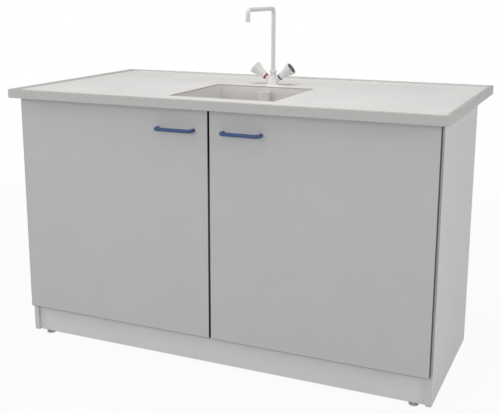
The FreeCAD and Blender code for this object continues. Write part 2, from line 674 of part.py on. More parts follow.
def tap_body():
    """Bell-shaped casting with two sloping bosses and a socket for the spout."""
    foot = V(TAP_FOOT_RADIUS, 0, WORK_SURFACE + TAP_FOOT_HEIGHT)
    waist = V(TAP_WAIST_RADIUS, 0, WORK_SURFACE + TAP_WAIST_HEIGHT)
    shoulder = V(TAP_SHOULDER_RADIUS, 0, SHOULDER_TOP)
    flank = Part.BSplineCurve()
    flank.interpolate([foot, waist, shoulder])
    outline = [V(0, 0, WORK_SURFACE), V(TAP_FOOT_RADIUS, 0, WORK_SURFACE), foot]
    top = [shoulder, V(TAP_NECK_RADIUS, 0, SHOULDER_TOP), V(TAP_NECK_RADIUS, 0, NECK_TOP),
           V(0, 0, NECK_TOP), V(0, 0, WORK_SURFACE)]
    wire = Part.Wire(Part.makePolygon(outline).Edges + [flank.toShape()] + Part.makePolygon(top).Edges)
    bell = placed(Part.Face(wire).revolve(ORIGIN, UP, 360), TAP_AXIS, UP)
    boss = rod(BOSS_RADIUS, HANDLE_CENTRE, HOT_AXIS, BOSS_LENGTH)
    head_bore = rod(HEAD_BODY_RADIUS + RUNNING_GAP, HANDLE_CENTRE + HOT_AXIS * HEAD_BASE, HOT_AXIS,
                    HEAD_BODY_DEPTH + CUT_MARGIN)
    socket = rod(SPOUT_RADIUS + SLIDING_GAP, TAP_AXIS + UP * SPOUT_FOOT, UP,
                 SPOUT_SOCKET_DEPTH + CUT_MARGIN)
    across = 2 * TAP_FOOT_RADIUS
    below = box((-across, across), (TAP_Y - across, TAP_Y + across), (WORKTOP_BOTTOM, WORK_SURFACE))
    return joined(bell, *both_sides(boss)).cut([below, socket, tap_seal()] + both_sides(head_bore))


def tap_seal():
    """Ring in the groove of the tap's foot."""
    inner, outer = TAP_SEAL_RADII
    return tube(outer, inner, TAP_AXIS + UP * WORK_SURFACE, UP, TAP_SEAL_DEPTH)


def tap_shank():
    """Threaded tail screwed to the body, with two hose sockets in its end."""
    shank = rod(SHANK_RADIUS, TAP_AXIS + UP * WORK_SURFACE, DOWN, SHANK_LENGTH)
    end = WORK_SURFACE - SHANK_LENGTH
    sockets = [rod(INLET_RADIUS, V(sign * INLET_SPACING / 2, TAP_Y, end), UP, INLET_DEPTH)
               for sign in (-1, 1)]
    return shank.cut(sockets)


def tap_washers():
    """Seal in the tap's foot, and the rubber and steel washers under the worktop."""
    bore = SHANK_RADIUS + SLIDING_GAP
    rubber = tube(TAP_WASHER_RADIUS, bore, TAP_AXIS + UP * WORKTOP_BOTTOM, DOWN, TAP_RUBBER_THICKNESS)
    steel_top = WORKTOP_BOTTOM - TAP_RUBBER_THICKNESS
    steel = tube(TAP_WASHER_RADIUS, bore, TAP_AXIS + UP * steel_top, DOWN, TAP_STEEL_THICKNESS)
    return [tap_seal(), rubber, steel]


def tap_backnut():
    top = WORKTOP_BOTTOM - TAP_RUBBER_THICKNESS - TAP_STEEL_THICKNESS
    nut = hexagon(BACKNUT_ACROSS_FLATS, BACKNUT_HEIGHT, TAP_AXIS + UP * (top - BACKNUT_HEIGHT))
    return nut.cut(rod(SHANK_RADIUS + SLIDING_GAP, TAP_AXIS + UP * WORKTOP_BOTTOM, DOWN, SHANK_LENGTH))


def collar_nut():
    """Nut that holds the spout's bead down on the neck and lets it turn."""
    bore = TAP_NECK_RADIUS + RUNNING_GAP
    lip_bore = SPOUT_RADIUS + SLIDING_GAP
    lip = NECK_TOP + BEAD_HEIGHT + BODY_GAP
    top = SHOULDER_TOP + COLLAR_HEIGHT
    return turned([(bore, SHOULDER_TOP), (TAP_SHOULDER_RADIUS, SHOULDER_TOP),
                   (COLLAR_RADIUS, NECK_TOP + BEAD_HEIGHT / 2), (COLLAR_RADIUS, lip),
                   (COLLAR_TOP_RADIUS, top), (lip_bore, top), (lip_bore, lip), (bore, lip)], TAP_AXIS)


def spout():
    """Swan neck: riser, level run and turned-down tip, with a bead that the collar nut holds."""
    level = WORK_SURFACE + SPOUT_HEIGHT
    tip_y = TAP_Y - SPOUT_REACH
    path = [V(0, TAP_Y, SPOUT_FOOT), V(0, TAP_Y, level), V(0, tip_y, level),
            V(0, tip_y, WORK_SURFACE + SPOUT_TIP_HEIGHT)]
    bead = rod(BEAD_RADIUS, TAP_AXIS + UP * NECK_TOP, UP, BEAD_HEIGHT)
    outside = joined(pipe(path, SPOUT_RADIUS, SPOUT_BEND), bead)
    return outside.cut(pipe(path, SPOUT_RADIUS - SPOUT_WALL, SPOUT_BEND))


def valve_head():
    """Quarter-turn valve: body in the boss, hexagon on its face, gland round the spindle."""
    bore = SPINDLE_RADIUS + RUNNING_GAP
    turned_part = on_hot_axis([(0, HEAD_BASE), (HEAD_BODY_RADIUS, HEAD_BASE), (HEAD_BODY_RADIUS, BOSS_LENGTH),
                               (HEAD_GLAND_RADIUS, BOSS_LENGTH), (HEAD_GLAND_RADIUS, GLAND_TOP),
                               (0, GLAND_TOP)])
    flats = hexagon(HEAD_HEX_ACROSS_FLATS, HEAD_HEX_HEIGHT, HANDLE_CENTRE + HOT_AXIS * BOSS_LENGTH, HOT_AXIS)
    hole = rod(bore, HANDLE_CENTRE + HOT_AXIS * SPINDLE_START, HOT_AXIS, HANDLE_LENGTH)
    return joined(turned_part, flats).cut(hole)


def spindle():
    hole = HANDLE_SCREW_RADIUS
    depth = HANDLE_SCREW_LENGTH - (SCREW_SEAT - SPINDLE_TOP)
    return on_hot_axis([(0, SPINDLE_START), (SPINDLE_RADIUS, SPINDLE_START), (SPINDLE_RADIUS, SPINDLE_TOP),
                        (hole, SPINDLE_TOP), (hole, SPINDLE_TOP - depth), (0, SPINDLE_TOP - depth)])


def index_ring():
    inner = HEAD_GLAND_RADIUS + BODY_GAP
    return on_hot_axis([(inner, RING_START), (INDEX_RING_RADIUS, RING_START),
                        (INDEX_RING_RADIUS, HANDLE_START), (inner, HANDLE_START)])


def tap_handle():
    """Flared grip, pressed on the spindle, with a seat for its cap."""
    relief = HEAD_GLAND_RADIUS + BODY_GAP
    hub = GLAND_TOP + BODY_GAP
    head_bore = HANDLE_SCREW_HEAD_RADIUS + BODY_GAP
    start = V(INDEX_RING_RADIUS, 0, HANDLE_START)
    end = V(HANDLE_RADIUS, 0, HANDLE_TOP - HANDLE_END_ROUND)
    middle = (start + end) * 0.5 + V(-HANDLE_HOLLOW, 0, HANDLE_HOLLOW)
    crown = V(HANDLE_RADIUS - HANDLE_END_ROUND, 0, HANDLE_TOP)
    swell = V(HANDLE_RADIUS - HANDLE_END_ROUND * (1 - math.sqrt(0.5)), 0,
              HANDLE_TOP - HANDLE_END_ROUND * (1 - math.sqrt(0.5)))
    rest = [crown, V(CAP_RADIUS + SLIDING_GAP, 0, HANDLE_TOP), V(CAP_RADIUS + SLIDING_GAP, 0, CAP_SEAT),
            V(head_bore, 0, CAP_SEAT), V(head_bore, 0, SCREW_SEAT), V(HANDLE_SCREW_RADIUS, 0, SCREW_SEAT),
            V(HANDLE_SCREW_RADIUS, 0, SPINDLE_TOP), V(SPINDLE_RADIUS, 0, SPINDLE_TOP),
            V(SPINDLE_RADIUS, 0, hub), V(relief, 0, hub), V(relief, 0, HANDLE_START), start]
    edges = [Part.Arc(start, middle, end).toShape(), Part.Arc(end, swell, crown).toShape()]
    wire = Part.Wire(edges + Part.makePolygon(rest).Edges)
    return placed(Part.Face(wire).revolve(ORIGIN, UP, 360), HANDLE_CENTRE, HOT_AXIS)


def handle_screw():
    base = SCREW_SEAT - HANDLE_SCREW_LENGTH
    top = SCREW_SEAT + HANDLE_SCREW_HEAD
    blank = on_hot_axis([(0, base), (HANDLE_SCREW_RADIUS, base), (HANDLE_SCREW_RADIUS, SCREW_SEAT),
                         (HANDLE_SCREW_HEAD_RADIUS, SCREW_SEAT), (HANDLE_SCREW_HEAD_RADIUS, top), (0, top)])
    return blank.cut(cross_recess(HANDLE_CENTRE + HOT_AXIS * top, HOT_AXIS * -1, SCREW_RECESS_SPAN))


def handle_cap():
    """Snap-in disc with a peg over the screw, a raised rim and a raised middle."""
    peg = CAP_SEAT - CAP_THICKNESS
    top = CAP_SEAT + CAP_THICKNESS
    dish = top - CAP_DISH
    button = dish + CAP_BUTTON_RISE
    return on_hot_axis([(0, peg), (HANDLE_SCREW_HEAD_RADIUS, peg), (HANDLE_SCREW_HEAD_RADIUS, CAP_SEAT),
                        (CAP_RADIUS, CAP_SEAT), (CAP_RADIUS, top), (CAP_RADIUS - CAP_RIM_WIDTH, top),
                        (CAP_RADIUS - CAP_RIM_WIDTH, dish), (CAP_BUTTON_RADIUS, dish),
                        (CAP_BUTTON_RADIUS, button), (0, button)])


# ---------------------------------------------------------------- screws
def headed(seat, direction, head, shank):
    """A screw from (radius, length) of its head, which stands on the seat, and of its shank."""
    cap = rod(head[0], seat, direction * -1, head[1])
    recess = cross_recess(seat - direction * head[1], direction, SCREW_RECESS_SPAN)
    return joined(cap, rod(shank[0], seat, direction, shank[1])).cut(recess)


def screw(head, direction):
    """Pan-head wood screw."""
    return headed(head, direction, (WOOD_SCREW_HEAD_RADIUS, WOOD_SCREW_HEAD),
                  (WOOD_SCREW_RADIUS, WOOD_SCREW_LENGTH))


def screw_shank(head, direction):
    return rod(WOOD_SCREW_RADIUS, head, direction, WOOD_SCREW_LENGTH)


# ---------------------------------------------------------------- brackets under the worktop
def bracket_ys():
    first = CABINET_FRONT + BRACKET_END_GAP
    step = (CABINET_DEPTH - 2 * BRACKET_END_GAP) / (BRACKETS_PER_SIDE - 1)
    return [first + step * index for index in range(BRACKETS_PER_SIDE)]


def bracket_screw_places():
    """(seat, direction) of the screws in the left brackets: up into the core, out into the side."""
    middle = BRACKET_LEG / 2 + BRACKET_THICKNESS
    places = []
    for y in bracket_ys():
        for sign in (-1, 1):
            places.append((V(sign * (SIDE_INNER - middle), y, WORKTOP_BOTTOM - BRACKET_THICKNESS), UP))
            places.append((V(sign * (SIDE_INNER - BRACKET_THICKNESS), y, WORKTOP_BOTTOM - middle),
                           RIGHT * sign))
    return places


def worktop_brackets():
    brackets = []
    for y in bracket_ys():
        across = (y - BRACKET_WIDTH / 2, y + BRACKET_WIDTH / 2)
        upright = box((-SIDE_INNER, BRACKET_THICKNESS - SIDE_INNER), across,
                      (WORKTOP_BOTTOM - BRACKET_LEG, WORKTOP_BOTTOM))
        level = box((-SIDE_INNER, BRACKET_LEG - SIDE_INNER), across,
                    (WORKTOP_BOTTOM - BRACKET_THICKNESS, WORKTOP_BOTTOM))
        brackets += both_sides(joined(upright, level))
    shanks = [screw_shank(*place) for place in bracket_screw_places()]
    return [bracket.cut(shanks) for bracket in brackets]


# ---------------------------------------------------------------- concealed hinges
PLATE_Y = CABINET_FRONT + PLATE_FROM_FRONT
CUP_X = CUP_EDGE + CUP_RADIUS - DOOR_OUTER


def plate_screw_places():
    """(seat, direction) of the left mounting plates' screws."""
    seat_x = PLATE_WING_THICKNESS - SIDE_INNER
    return [(V(seat_x, PLATE_Y, z + sign * PLATE_SCREW_SPACING / 2), LEFT)
            for z in HINGE_HEIGHTS for sign in (-1, 1)]


def cup_screw_places():
    """(seat, direction) of the left cups' screws."""
    return [(V(CUP_X, DOOR_BACK + CUP_PLATE_THICKNESS, z + sign * CUP_SCREW_SPACING / 2), FORWARD)
            for z in HINGE_HEIGHTS for sign in (-1, 1)]


def arm_screw_places():
    """Seats of the left arms' fixing and adjusting screws."""
    seat_x = PLATE_THICKNESS + ARM_HEIGHT - SIDE_INNER
    return [V(seat_x, PLATE_Y + sign * ARM_SCREW_SPACING / 2, z) for z in HINGE_HEIGHTS for sign in (-1, 1)]


def arm_screws():
    return [headed(seat, LEFT, (ARM_SCREW_HEAD_RADIUS, ARM_SCREW_HEAD),
                   (ARM_SCREW_RADIUS, ARM_HEIGHT + ARM_SCREW_GRIP)) for seat in arm_screw_places()]


def hinge_plates():
    """Winged mounting plates on the left side panel."""
    holes = [screw_shank(*place) for place in plate_screw_places()] + arm_screws()
    plates = []
    for z in HINGE_HEIGHTS:
        wing = box((-SIDE_INNER, PLATE_WING_THICKNESS - SIDE_INNER),
                   (PLATE_Y - PLATE_WING_WIDTH / 2, PLATE_Y + PLATE_WING_WIDTH / 2),
                   (z - PLATE_WING / 2, z + PLATE_WING / 2))
        block = box((-SIDE_INNER, PLATE_THICKNESS - SIDE_INNER),
                    (PLATE_Y - PLATE_LENGTH / 2, PLATE_Y + PLATE_LENGTH / 2),
                    (z - PLATE_WIDTH / 2, z + PLATE_WIDTH / 2))
        plates.append(joined(wing, block).cut(holes))
    return plates


def in_plan(point, z):
    """A left hinge's plan point at a height."""
    across, back = point
    return V(across - SIDE_OUTER, DOOR_FACE + back, z)


def flat_bar(start, end, radius, z, width):
    """A round-ended bar between two plan points, its width centred on z."""
    base = in_plan(start, z - width / 2)
    run = in_plan(end, z - width / 2) - base
    side = V(-run.y, run.x, 0).normalize() * radius
    corners = [base + side, base - side, base + run - side, base + run + side]
    web = Part.Face(Part.makePolygon(corners + corners[:1])).extrude(V(0, 0, width))
    return joined(web, rod(radius, base, UP, width), rod(radius, base + run, UP, width))


def hinge_links(arm_pin, cup_pin, side):
    """Links from the arms' pins into the cups, the two of a hinge one above the other."""
    links = []
    for z in HINGE_HEIGHTS:
        level = z + side * (LINK_WIDTH + LINK_SIDE_GAP) / 2
        low = in_plan(arm_pin, level - LINK_WIDTH / 2)
        bar = joined(flat_bar(arm_pin, cup_pin, LINK_RADIUS, level, LINK_WIDTH),
                     rod(LINK_EYE_RADIUS, low, UP, LINK_WIDTH))
        links.append(bar.cut(rod(HINGE_PIN_RADIUS + RUNNING_GAP, low, UP, LINK_WIDTH)))
    return links


def arm_nose(z, front):
    """Two cheeks with the links' pins between them."""
    lap_point = (BOARD + PLATE_THICKNESS + ARM_HEIGHT - NOSE_RADIUS, front - DOOR_FACE + NOSE_LAP)
    inner_gap = LINK_WIDTH + LINK_SIDE_GAP * 1.5
    pieces = []
    for sign in (-1, 1):
        level = z + sign * (inner_gap + NOSE_WALL / 2)
        for start, end in ((OUTER_ARM_PIN, NOSE_ELBOW), (NOSE_ELBOW, INNER_ARM_PIN), (NOSE_ELBOW, lap_point)):
            pieces.append(flat_bar(start, end, NOSE_RADIUS, level, NOSE_WALL))
    for pin in (OUTER_ARM_PIN, INNER_ARM_PIN):
        half = inner_gap + NOSE_WALL
        pieces.append(rod(HINGE_PIN_RADIUS, in_plan(pin, z - half), UP, 2 * half))
    return pieces


def hinge_arms():
    """Channel-section arms clipped over the plates, with a nose that reaches into the cup."""
    arms = []
    for z in HINGE_HEIGHTS:
        base_x = PLATE_THICKNESS - SIDE_INNER
        half = PLATE_WIDTH / 2 + ARM_WALL
        front = DOOR_FACE + INNER_ARM_PIN[1] + LINK_EYE_RADIUS + BODY_GAP
        outside = box((base_x - ARM_HEIGHT / 2, base_x + ARM_HEIGHT),
                      (front, front + ARM_LENGTH), (z - half, z + half))
        inside = box((base_x - ARM_HEIGHT, base_x + ARM_HEIGHT - ARM_WALL),
                     (front - CUT_MARGIN, front + ARM_LENGTH + CUT_MARGIN),
                     (z - PLATE_WIDTH / 2, z + PLATE_WIDTH / 2))
        plate_room = box((base_x - ARM_HEIGHT, base_x), (front, PLATE_Y - PLATE_LENGTH / 2),
                         (z - half - CUT_MARGIN, z + half + CUT_MARGIN))
        holes = [rod(ARM_SCREW_RADIUS + SLIDING_GAP, seat, LEFT, ARM_HEIGHT) for seat in arm_screw_places()]
        arms.append(joined(outside.cut([inside, plate_room] + holes), *arm_nose(z, front)))
    return arms


def hinge_cups():
    """Pressed cups in the left door, each with a screw plate."""
    cups = []
    for z in HINGE_HEIGHTS:
        mouth = V(CUP_X, DOOR_BACK, z)
        plate = box((CUP_X - CUP_PLATE_WIDTH / 2, CUP_X + CUP_PLATE_WIDTH / 2),
                    (DOOR_BACK, DOOR_BACK + CUP_PLATE_THICKNESS),
                    (z - CUP_PLATE_LENGTH / 2, z + CUP_PLATE_LENGTH / 2))
        rim = rod(CUP_RADIUS, mouth, BACKWARD, CUP_PLATE_THICKNESS)
        cup = joined(rod(CUP_RADIUS, mouth, FORWARD, CUP_DEPTH), plate, rim)
        hollow = rod(CUP_RADIUS - CUP_WALL, mouth + BACKWARD * CUT_MARGIN * 2, FORWARD,
                     CUP_DEPTH - CUP_WALL + CUT_MARGIN * 2)
        notch = box((CUP_X - CUP_RADIUS - CUT_MARGIN, CUP_X - CUP_RADIUS / 2),
                    (DOOR_BACK - CUP_NOTCH_DEPTH, DOOR_BACK + CUP_PLATE_THICKNESS + CUT_MARGIN),
                    (z - CUP_NOTCH_WIDTH / 2, z + CUP_NOTCH_WIDTH / 2))
        cups.append(cup.cut([hollow, notch] + [screw_shank(*place) for place in cup_screw_places()]))
    return cups


# ---------------------------------------------------------------- cam fittings
MIDDLE_Y = (CABINET_FRONT + CABINET_BACK) / 2
RAIL_MIDDLE = WORKTOP_BOTTOM - FRONT_RAIL_HEIGHT / 2
PANEL_CAM_YS = (CABINET_FRONT + PANEL_CAM_FROM_EDGE, MIDDLE_Y, CABINET_BACK - PANEL_CAM_FROM_EDGE)
PANEL_CAMS = [(V(-SIDE_INNER, y, PLINTH_TOP + BOARD / 2), DOWN) for y in PANEL_CAM_YS]
FRONT_RAIL_CAMS = [(V(-SIDE_INNER, CABINET_FRONT + BOARD / 2, RAIL_MIDDLE), BACKWARD)]
BACK_RAIL_CAMS = [(V(-SIDE_INNER, CABINET_BACK - BOARD / 2, z), FORWARD)
                  for z in (WORKTOP_BOTTOM - CAM_FROM_EDGE,
                            WORKTOP_BOTTOM - BACK_RAIL_HEIGHT + CAM_FROM_EDGE)]
PLINTH_CAM_Z = PLINTH_TOP - CAM_FROM_EDGE
PLINTH_CAMS = [[(V(-SIDE_INNER, y, PLINTH_CAM_Z), facing)]
               for y, facing in zip(FOOT_YS, (BACKWARD, FORWARD))]
ALL_CAMS = PANEL_CAMS + FRONT_RAIL_CAMS + BACK_RAIL_CAMS + PLINTH_CAMS[0] + PLINTH_CAMS[1]


def cam_mouth(seat, facing):
    """Middle of a cam's outer end, on the board's face, from the bolt's place on the side panel."""
    return seat + RIGHT * CAM_FROM_END + facing * (BOARD / 2)


def cam_blank(seat, facing):
    """The cam's full round, pressed into the board."""
    return rod(CAM_RADIUS, cam_mouth(seat, facing), facing * -1, CAM_DEPTH)


def cam_bolt(seat):
    """Bolt screwed into the side panel, with a neck and a head inside the cam."""
    head = CAM_FROM_END - CAM_HEAD_LENGTH / 2
    shank = CAM_FROM_END - CAM_RADIUS - BODY_GAP
    return turned([(0, -CAM_BOLT_GRIP), (CAM_BOLT_RADIUS, -CAM_BOLT_GRIP), (CAM_BOLT_RADIUS, shank),
                   (CAM_NECK_RADIUS, shank), (CAM_NECK_RADIUS, head), (CAM_HEAD_RADIUS, head),
                   (CAM_HEAD_RADIUS, head + CAM_HEAD_LENGTH), (0, head + CAM_HEAD_LENGTH)], seat, RIGHT)


def cam(seat, facing):
    """Cam with a way in for the bolt's neck, room for its head and a driver's cross."""
    head = CAM_FROM_END - CAM_HEAD_LENGTH / 2 - SLIDING_GAP
    neck_way = rod(CAM_NECK_RADIUS + SLIDING_GAP, seat, RIGHT, CAM_FROM_END)
    head_room = rod(CAM_HEAD_RADIUS + SLIDING_GAP, seat + RIGHT * head, RIGHT,
                    CAM_HEAD_LENGTH + 2 * SLIDING_GAP)
    recess = cross_recess(cam_mouth(seat, facing), facing * -1, CAM_RECESS_SPAN)
    return cam_blank(seat, facing).cut([neck_way, head_room, recess])


def cam_fittings():
    """Bolts and cams of the left side."""
    return [cam_bolt(seat) for seat, facing in ALL_CAMS] + [cam(*place) for place in ALL_CAMS]


def bored_for_cams(board, places):
    """A board between the side panels, with both its ends bored for cams and bolts."""
    cuts = []
    for seat, facing in places:
        cuts += both_sides(cam_blank(seat, facing))
        cuts += both_sides(rod(CAM_BOLT_RADIUS, seat, RIGHT, CAM_FROM_END))
    return board.cut(cuts)


# ---------------------------------------------------------------- cabinet
def side_panel():
    """Left side, drilled for the bracket and hinge screws and the cam bolts."""
    panel = box((-SIDE_OUTER, -SIDE_INNER), (CABINET_FRONT, CABINET_BACK), (FLOOR_GAP, WORKTOP_BOTTOM))
    places = [place for place in bracket_screw_places() if place[1].x < 0] + plate_screw_places()
    bolt_holes = [rod(CAM_BOLT_RADIUS, seat, LEFT, CAM_BOLT_GRIP) for seat, facing in ALL_CAMS]
    return panel.cut([screw_shank(*place) for place in places] + bolt_holes)


def bottom_panel():
    board = box((-SIDE_INNER, SIDE_INNER), (CABINET_FRONT, CABINET_BACK), (PLINTH_TOP, SHELF_TOP))
    return bored_for_cams(board, PANEL_CAMS)


def front_rail():
    board = box((-SIDE_INNER, SIDE_INNER), (CABINET_FRONT, CABINET_FRONT + BOARD),
                (WORKTOP_BOTTOM - FRONT_RAIL_HEIGHT, WORKTOP_BOTTOM))
    return bored_for_cams(board, FRONT_RAIL_CAMS)


def back_rail():
    """Rail notched for the hand that tightens the tap's backnut."""
    rail = box((-SIDE_INNER, SIDE_INNER), (CABINET_BACK - BOARD, CABINET_BACK),
               (WORKTOP_BOTTOM - BACK_RAIL_HEIGHT, WORKTOP_BOTTOM))
    half = TAP_WASHER_RADIUS + TAP_NOTCH_CLEARANCE
    stack = TAP_RUBBER_THICKNESS + TAP_STEEL_THICKNESS + BACKNUT_HEIGHT
    notch = box((-half, half), (CABINET_BACK - BOARD - CUT_MARGIN, CABINET_BACK + CUT_MARGIN),
                (WORKTOP_BOTTOM - stack - TAP_NOTCH_CLEARANCE, WORKTOP_BOTTOM + CUT_MARGIN))
    return bored_for_cams(rail.cut(notch), BACK_RAIL_CAMS)


def plinth(foot_y, cams):
    """Board under the bottom panel, drilled from below for the foot inserts."""
    board = box((-SIDE_INNER, SIDE_INNER), (foot_y - BOARD / 2, foot_y + BOARD / 2), (FLOOR_GAP, PLINTH_TOP))
    board = board.cut([rod(INSERT_RADIUS, V(x, foot_y, FLOOR_GAP), UP, INSERT_LENGTH)
                       for x in (-FOOT_X, FOOT_X)])
    return bored_for_cams(board, cams)


# ---------------------------------------------------------------- feet
def foot_inserts():
    inserts = []
    for y in FOOT_YS:
        for x in (-FOOT_X, FOOT_X):
            base = V(x, y, FLOOR_GAP)
            sleeve = joined(rod(INSERT_RADIUS, base, UP, INSERT_LENGTH),
                            rod(INSERT_FLANGE_RADIUS, base, DOWN, INSERT_FLANGE))
            bore = rod(STUD_RADIUS + RUNNING_GAP, base - UP * INSERT_FLANGE, UP,
                       INSERT_LENGTH + INSERT_FLANGE)
            inserts.append(sleeve.cut(bore))
    return inserts


def levelling_foot(x, y):
    """Pad, hexagon and stud in one piece."""
    pad = rod(FOOT_RADIUS, V(x, y, 0), UP, FOOT_PAD_HEIGHT)
    pad = round_edges(pad, FOOT_EDGE_ROUND, lambda edge: edge.BoundBox.ZMin > FOOT_PAD_HEIGHT / 2
                      and edge.BoundBox.ZLength < FOOT_PAD_HEIGHT / 2)
    stop = FLOOR_GAP - INSERT_FLANGE
    flats = hexagon(FOOT_HEX_ACROSS_FLATS, stop - FOOT_PAD_HEIGHT, V(x, y, FOOT_PAD_HEIGHT))
    stud = rod(STUD_RADIUS, V(x, y, stop), UP, STUD_LENGTH)
    return joined(pad, flats, stud)


# ---------------------------------------------------------------- doors
def door_board():
    """Left door board inside its edge bands, bored for cups, cup screws and handle screws."""
    board = box((EDGE_BAND - DOOR_OUTER, -DOOR_INNER - EDGE_BAND), (DOOR_FACE, DOOR_BACK),
                (DOOR_BOTTOM + EDGE_BAND, DOOR_TOP - EDGE_BAND))
    bores = [rod(CUP_RADIUS, V(CUP_X, DOOR_BACK, z), FORWARD, CUP_DEPTH) for z in HINGE_HEIGHTS]
    bores += [screw_shank(*place) for place in cup_screw_places()]
    bores += [rod(BOW_SCREW_RADIUS, V(-x, DOOR_BACK, BOW_Z), FORWARD, DOOR_THICKNESS) for x in BOW_FEET]
    return board.cut(bores)


def door_edge_bands():
    """Four dark strips round the left door board."""
    uprights = [box((x, x + EDGE_BAND), (DOOR_FACE, DOOR_BACK), (DOOR_BOTTOM, DOOR_TOP))
                for x in (-DOOR_OUTER, -DOOR_INNER - EDGE_BAND)]
    levels = [box((EDGE_BAND - DOOR_OUTER, -DOOR_INNER - EDGE_BAND), (DOOR_FACE, DOOR_BACK),
                  (z, z + EDGE_BAND)) for z in (DOOR_BOTTOM, DOOR_TOP - EDGE_BAND)]
    return uprights + levels


def bow_handle():
    """Round bar bent to a bow, its feet tapped for screws."""
    bar_y = DOOR_FACE - BOW_STANDOFF
    near, far = (-x for x in BOW_FEET)
    path = [V(far, DOOR_FACE, BOW_Z), V(far, bar_y, BOW_Z), V(near, bar_y, BOW_Z), V(near, DOOR_FACE, BOW_Z)]
    bar = pipe(path, BOW_RADIUS, BOW_BEND)
    return bar.cut([rod(BOW_SCREW_RADIUS, V(x, DOOR_FACE, BOW_Z), FORWARD, BOW_SCREW_GRIP)
                    for x in (near, far)])


def bow_handle_screws():
    return [headed(V(-x, DOOR_BACK, BOW_Z), FORWARD, (PAN_HEAD_RADIUS, PAN_HEAD_HEIGHT),
                   (BOW_SCREW_RADIUS, DOOR_THICKNESS + BOW_SCREW_GRIP)) for x in BOW_FEET]


# ---------------------------------------------------------------- assembly
def as_list(shape):
    return shape if isinstance(shape, list) else [shape]


def save(name, shape):
    """Write a sub-part, which may be a group of identical pieces."""
    solids = as_list(shape)
    whole = solids[0] if len(solids) == 1 else Part.makeCompound(solids)
    whole.exportStep("parts/" + name + ".step")


def save_pair(name, left_shape):
    """Write a left piece and its mirror image."""
    save(name + "_left", left_shape)
    save(name + "_right", [mirrored(solid) for solid in as_list(left_shape)])


def save_hot_and_cold(name, hot_shape):
    save(name + "_hot", hot_shape)
    save(name + "_cold", mirrored(hot_shape))


strips = edge_strips()
save("edge_strip_front", strips["front"])
save("edge_strip_back", strips["back"])
save("edge_strips_ends", [strips["left"], strips["right"]])
save("worktop_sheet", worktop_sheet())
save("worktop_core", worktop_core())
save("worktop_brackets", worktop_brackets())

save("sink_bowl", sink_bowl())
save("standpipe", standpipe())
save("standpipe_seal", standpipe_seal())
save("trap_nuts", trap_nuts())
save("trap_washers", trap_washers())
save("trap_body", trap_body())
save("trap_cup", trap_cup())
save("waste_pipe", waste_pipe())

save("tap_body", tap_body())
save("tap_shank", tap_shank())
save("tap_washers", tap_washers())
save("tap_backnut", tap_backnut())
save("collar_nut", collar_nut())
save("spout", spout())
save("valve_heads", both_sides(valve_head()))
save_hot_and_cold("spindle", spindle())
save_hot_and_cold("index_ring", index_ring())
save_hot_and_cold("tap_handle", tap_handle())
save_hot_and_cold("tap_handle_screw", handle_screw())
save_hot_and_cold("tap_handle_cap", handle_cap())

save_pair("side_panel", side_panel())
save("bottom_panel", bottom_panel())
save("front_rail", front_rail())
save("back_rail", back_rail())
save("plinth_front", plinth(FOOT_YS[0], PLINTH_CAMS[0]))
save("plinth_rear", plinth(FOOT_YS[1], PLINTH_CAMS[1]))

save_pair("door", door_board())
save_pair("door_edge_bands", door_edge_bands())
save_pair("bow_handle", bow_handle())
save_pair("hinge_cups", hinge_cups())
save_pair("door_screws", bow_handle_screws() + [screw(*place) for place in cup_screw_places()])
save_pair("hinge_outer_links", hinge_links(OUTER_ARM_PIN, OUTER_CUP_PIN, -1))
save_pair("hinge_inner_links", hinge_links(INNER_ARM_PIN, INNER_CUP_PIN, 1))
left_arms = hinge_arms()
left_plates = hinge_plates()
left_screws = [screw(*place) for place in plate_screw_places()] + arm_screws() + cam_fittings()
right_screws = [mirrored(piece) for piece in left_screws]
save("hinge_arms", left_arms + [mirrored(arm) for arm in left_arms])
save("hinge_plates", left_plates + [mirrored(plate) for plate in left_plates])
save("cabinet_screws", left_screws + right_screws + [screw(*place) for place in bracket_screw_places()])

save("foot_inserts", foot_inserts())
for depth_name, foot_y in zip(("front", "rear"), FOOT_YS):
    for side_name, foot_x in (("left", -FOOT_X), ("right", FOOT_X)):
        save("foot_" + depth_name + "_" + side_name, levelling_foot(foot_x, foot_y))
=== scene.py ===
"""Looks of the laboratory sink unit: laminate boards, a welded plastic worktop and bowl, a coated
mixer with flared handles, blue bow handles, and a plain studio round them."""
import json
import math

import bmesh
import bpy
import numpy as np
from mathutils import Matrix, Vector
from mathutils.geometry import tessellate_polygon


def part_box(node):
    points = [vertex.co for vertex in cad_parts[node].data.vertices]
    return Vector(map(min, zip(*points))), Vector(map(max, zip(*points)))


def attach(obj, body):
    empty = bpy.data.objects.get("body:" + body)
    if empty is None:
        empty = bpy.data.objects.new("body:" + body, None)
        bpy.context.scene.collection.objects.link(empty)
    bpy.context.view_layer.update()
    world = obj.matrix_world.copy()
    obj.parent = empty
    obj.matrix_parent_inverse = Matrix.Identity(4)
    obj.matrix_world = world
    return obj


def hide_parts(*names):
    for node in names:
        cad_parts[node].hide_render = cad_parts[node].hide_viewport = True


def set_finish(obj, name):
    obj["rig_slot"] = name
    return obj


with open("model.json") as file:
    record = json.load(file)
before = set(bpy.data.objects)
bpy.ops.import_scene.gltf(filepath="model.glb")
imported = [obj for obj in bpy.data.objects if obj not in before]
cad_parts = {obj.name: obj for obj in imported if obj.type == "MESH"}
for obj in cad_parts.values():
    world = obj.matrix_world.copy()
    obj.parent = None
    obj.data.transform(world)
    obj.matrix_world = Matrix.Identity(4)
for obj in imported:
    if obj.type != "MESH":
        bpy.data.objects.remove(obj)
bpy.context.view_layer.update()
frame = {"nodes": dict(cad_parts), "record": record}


NODES = frame["nodes"]

# ---------------------------------------------------------------- sizes, in metres
def middle(node, axis):
    """Middle of a node's box along one axis."""
    low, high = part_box(node)
    return (low[axis] + high[axis]) / 2


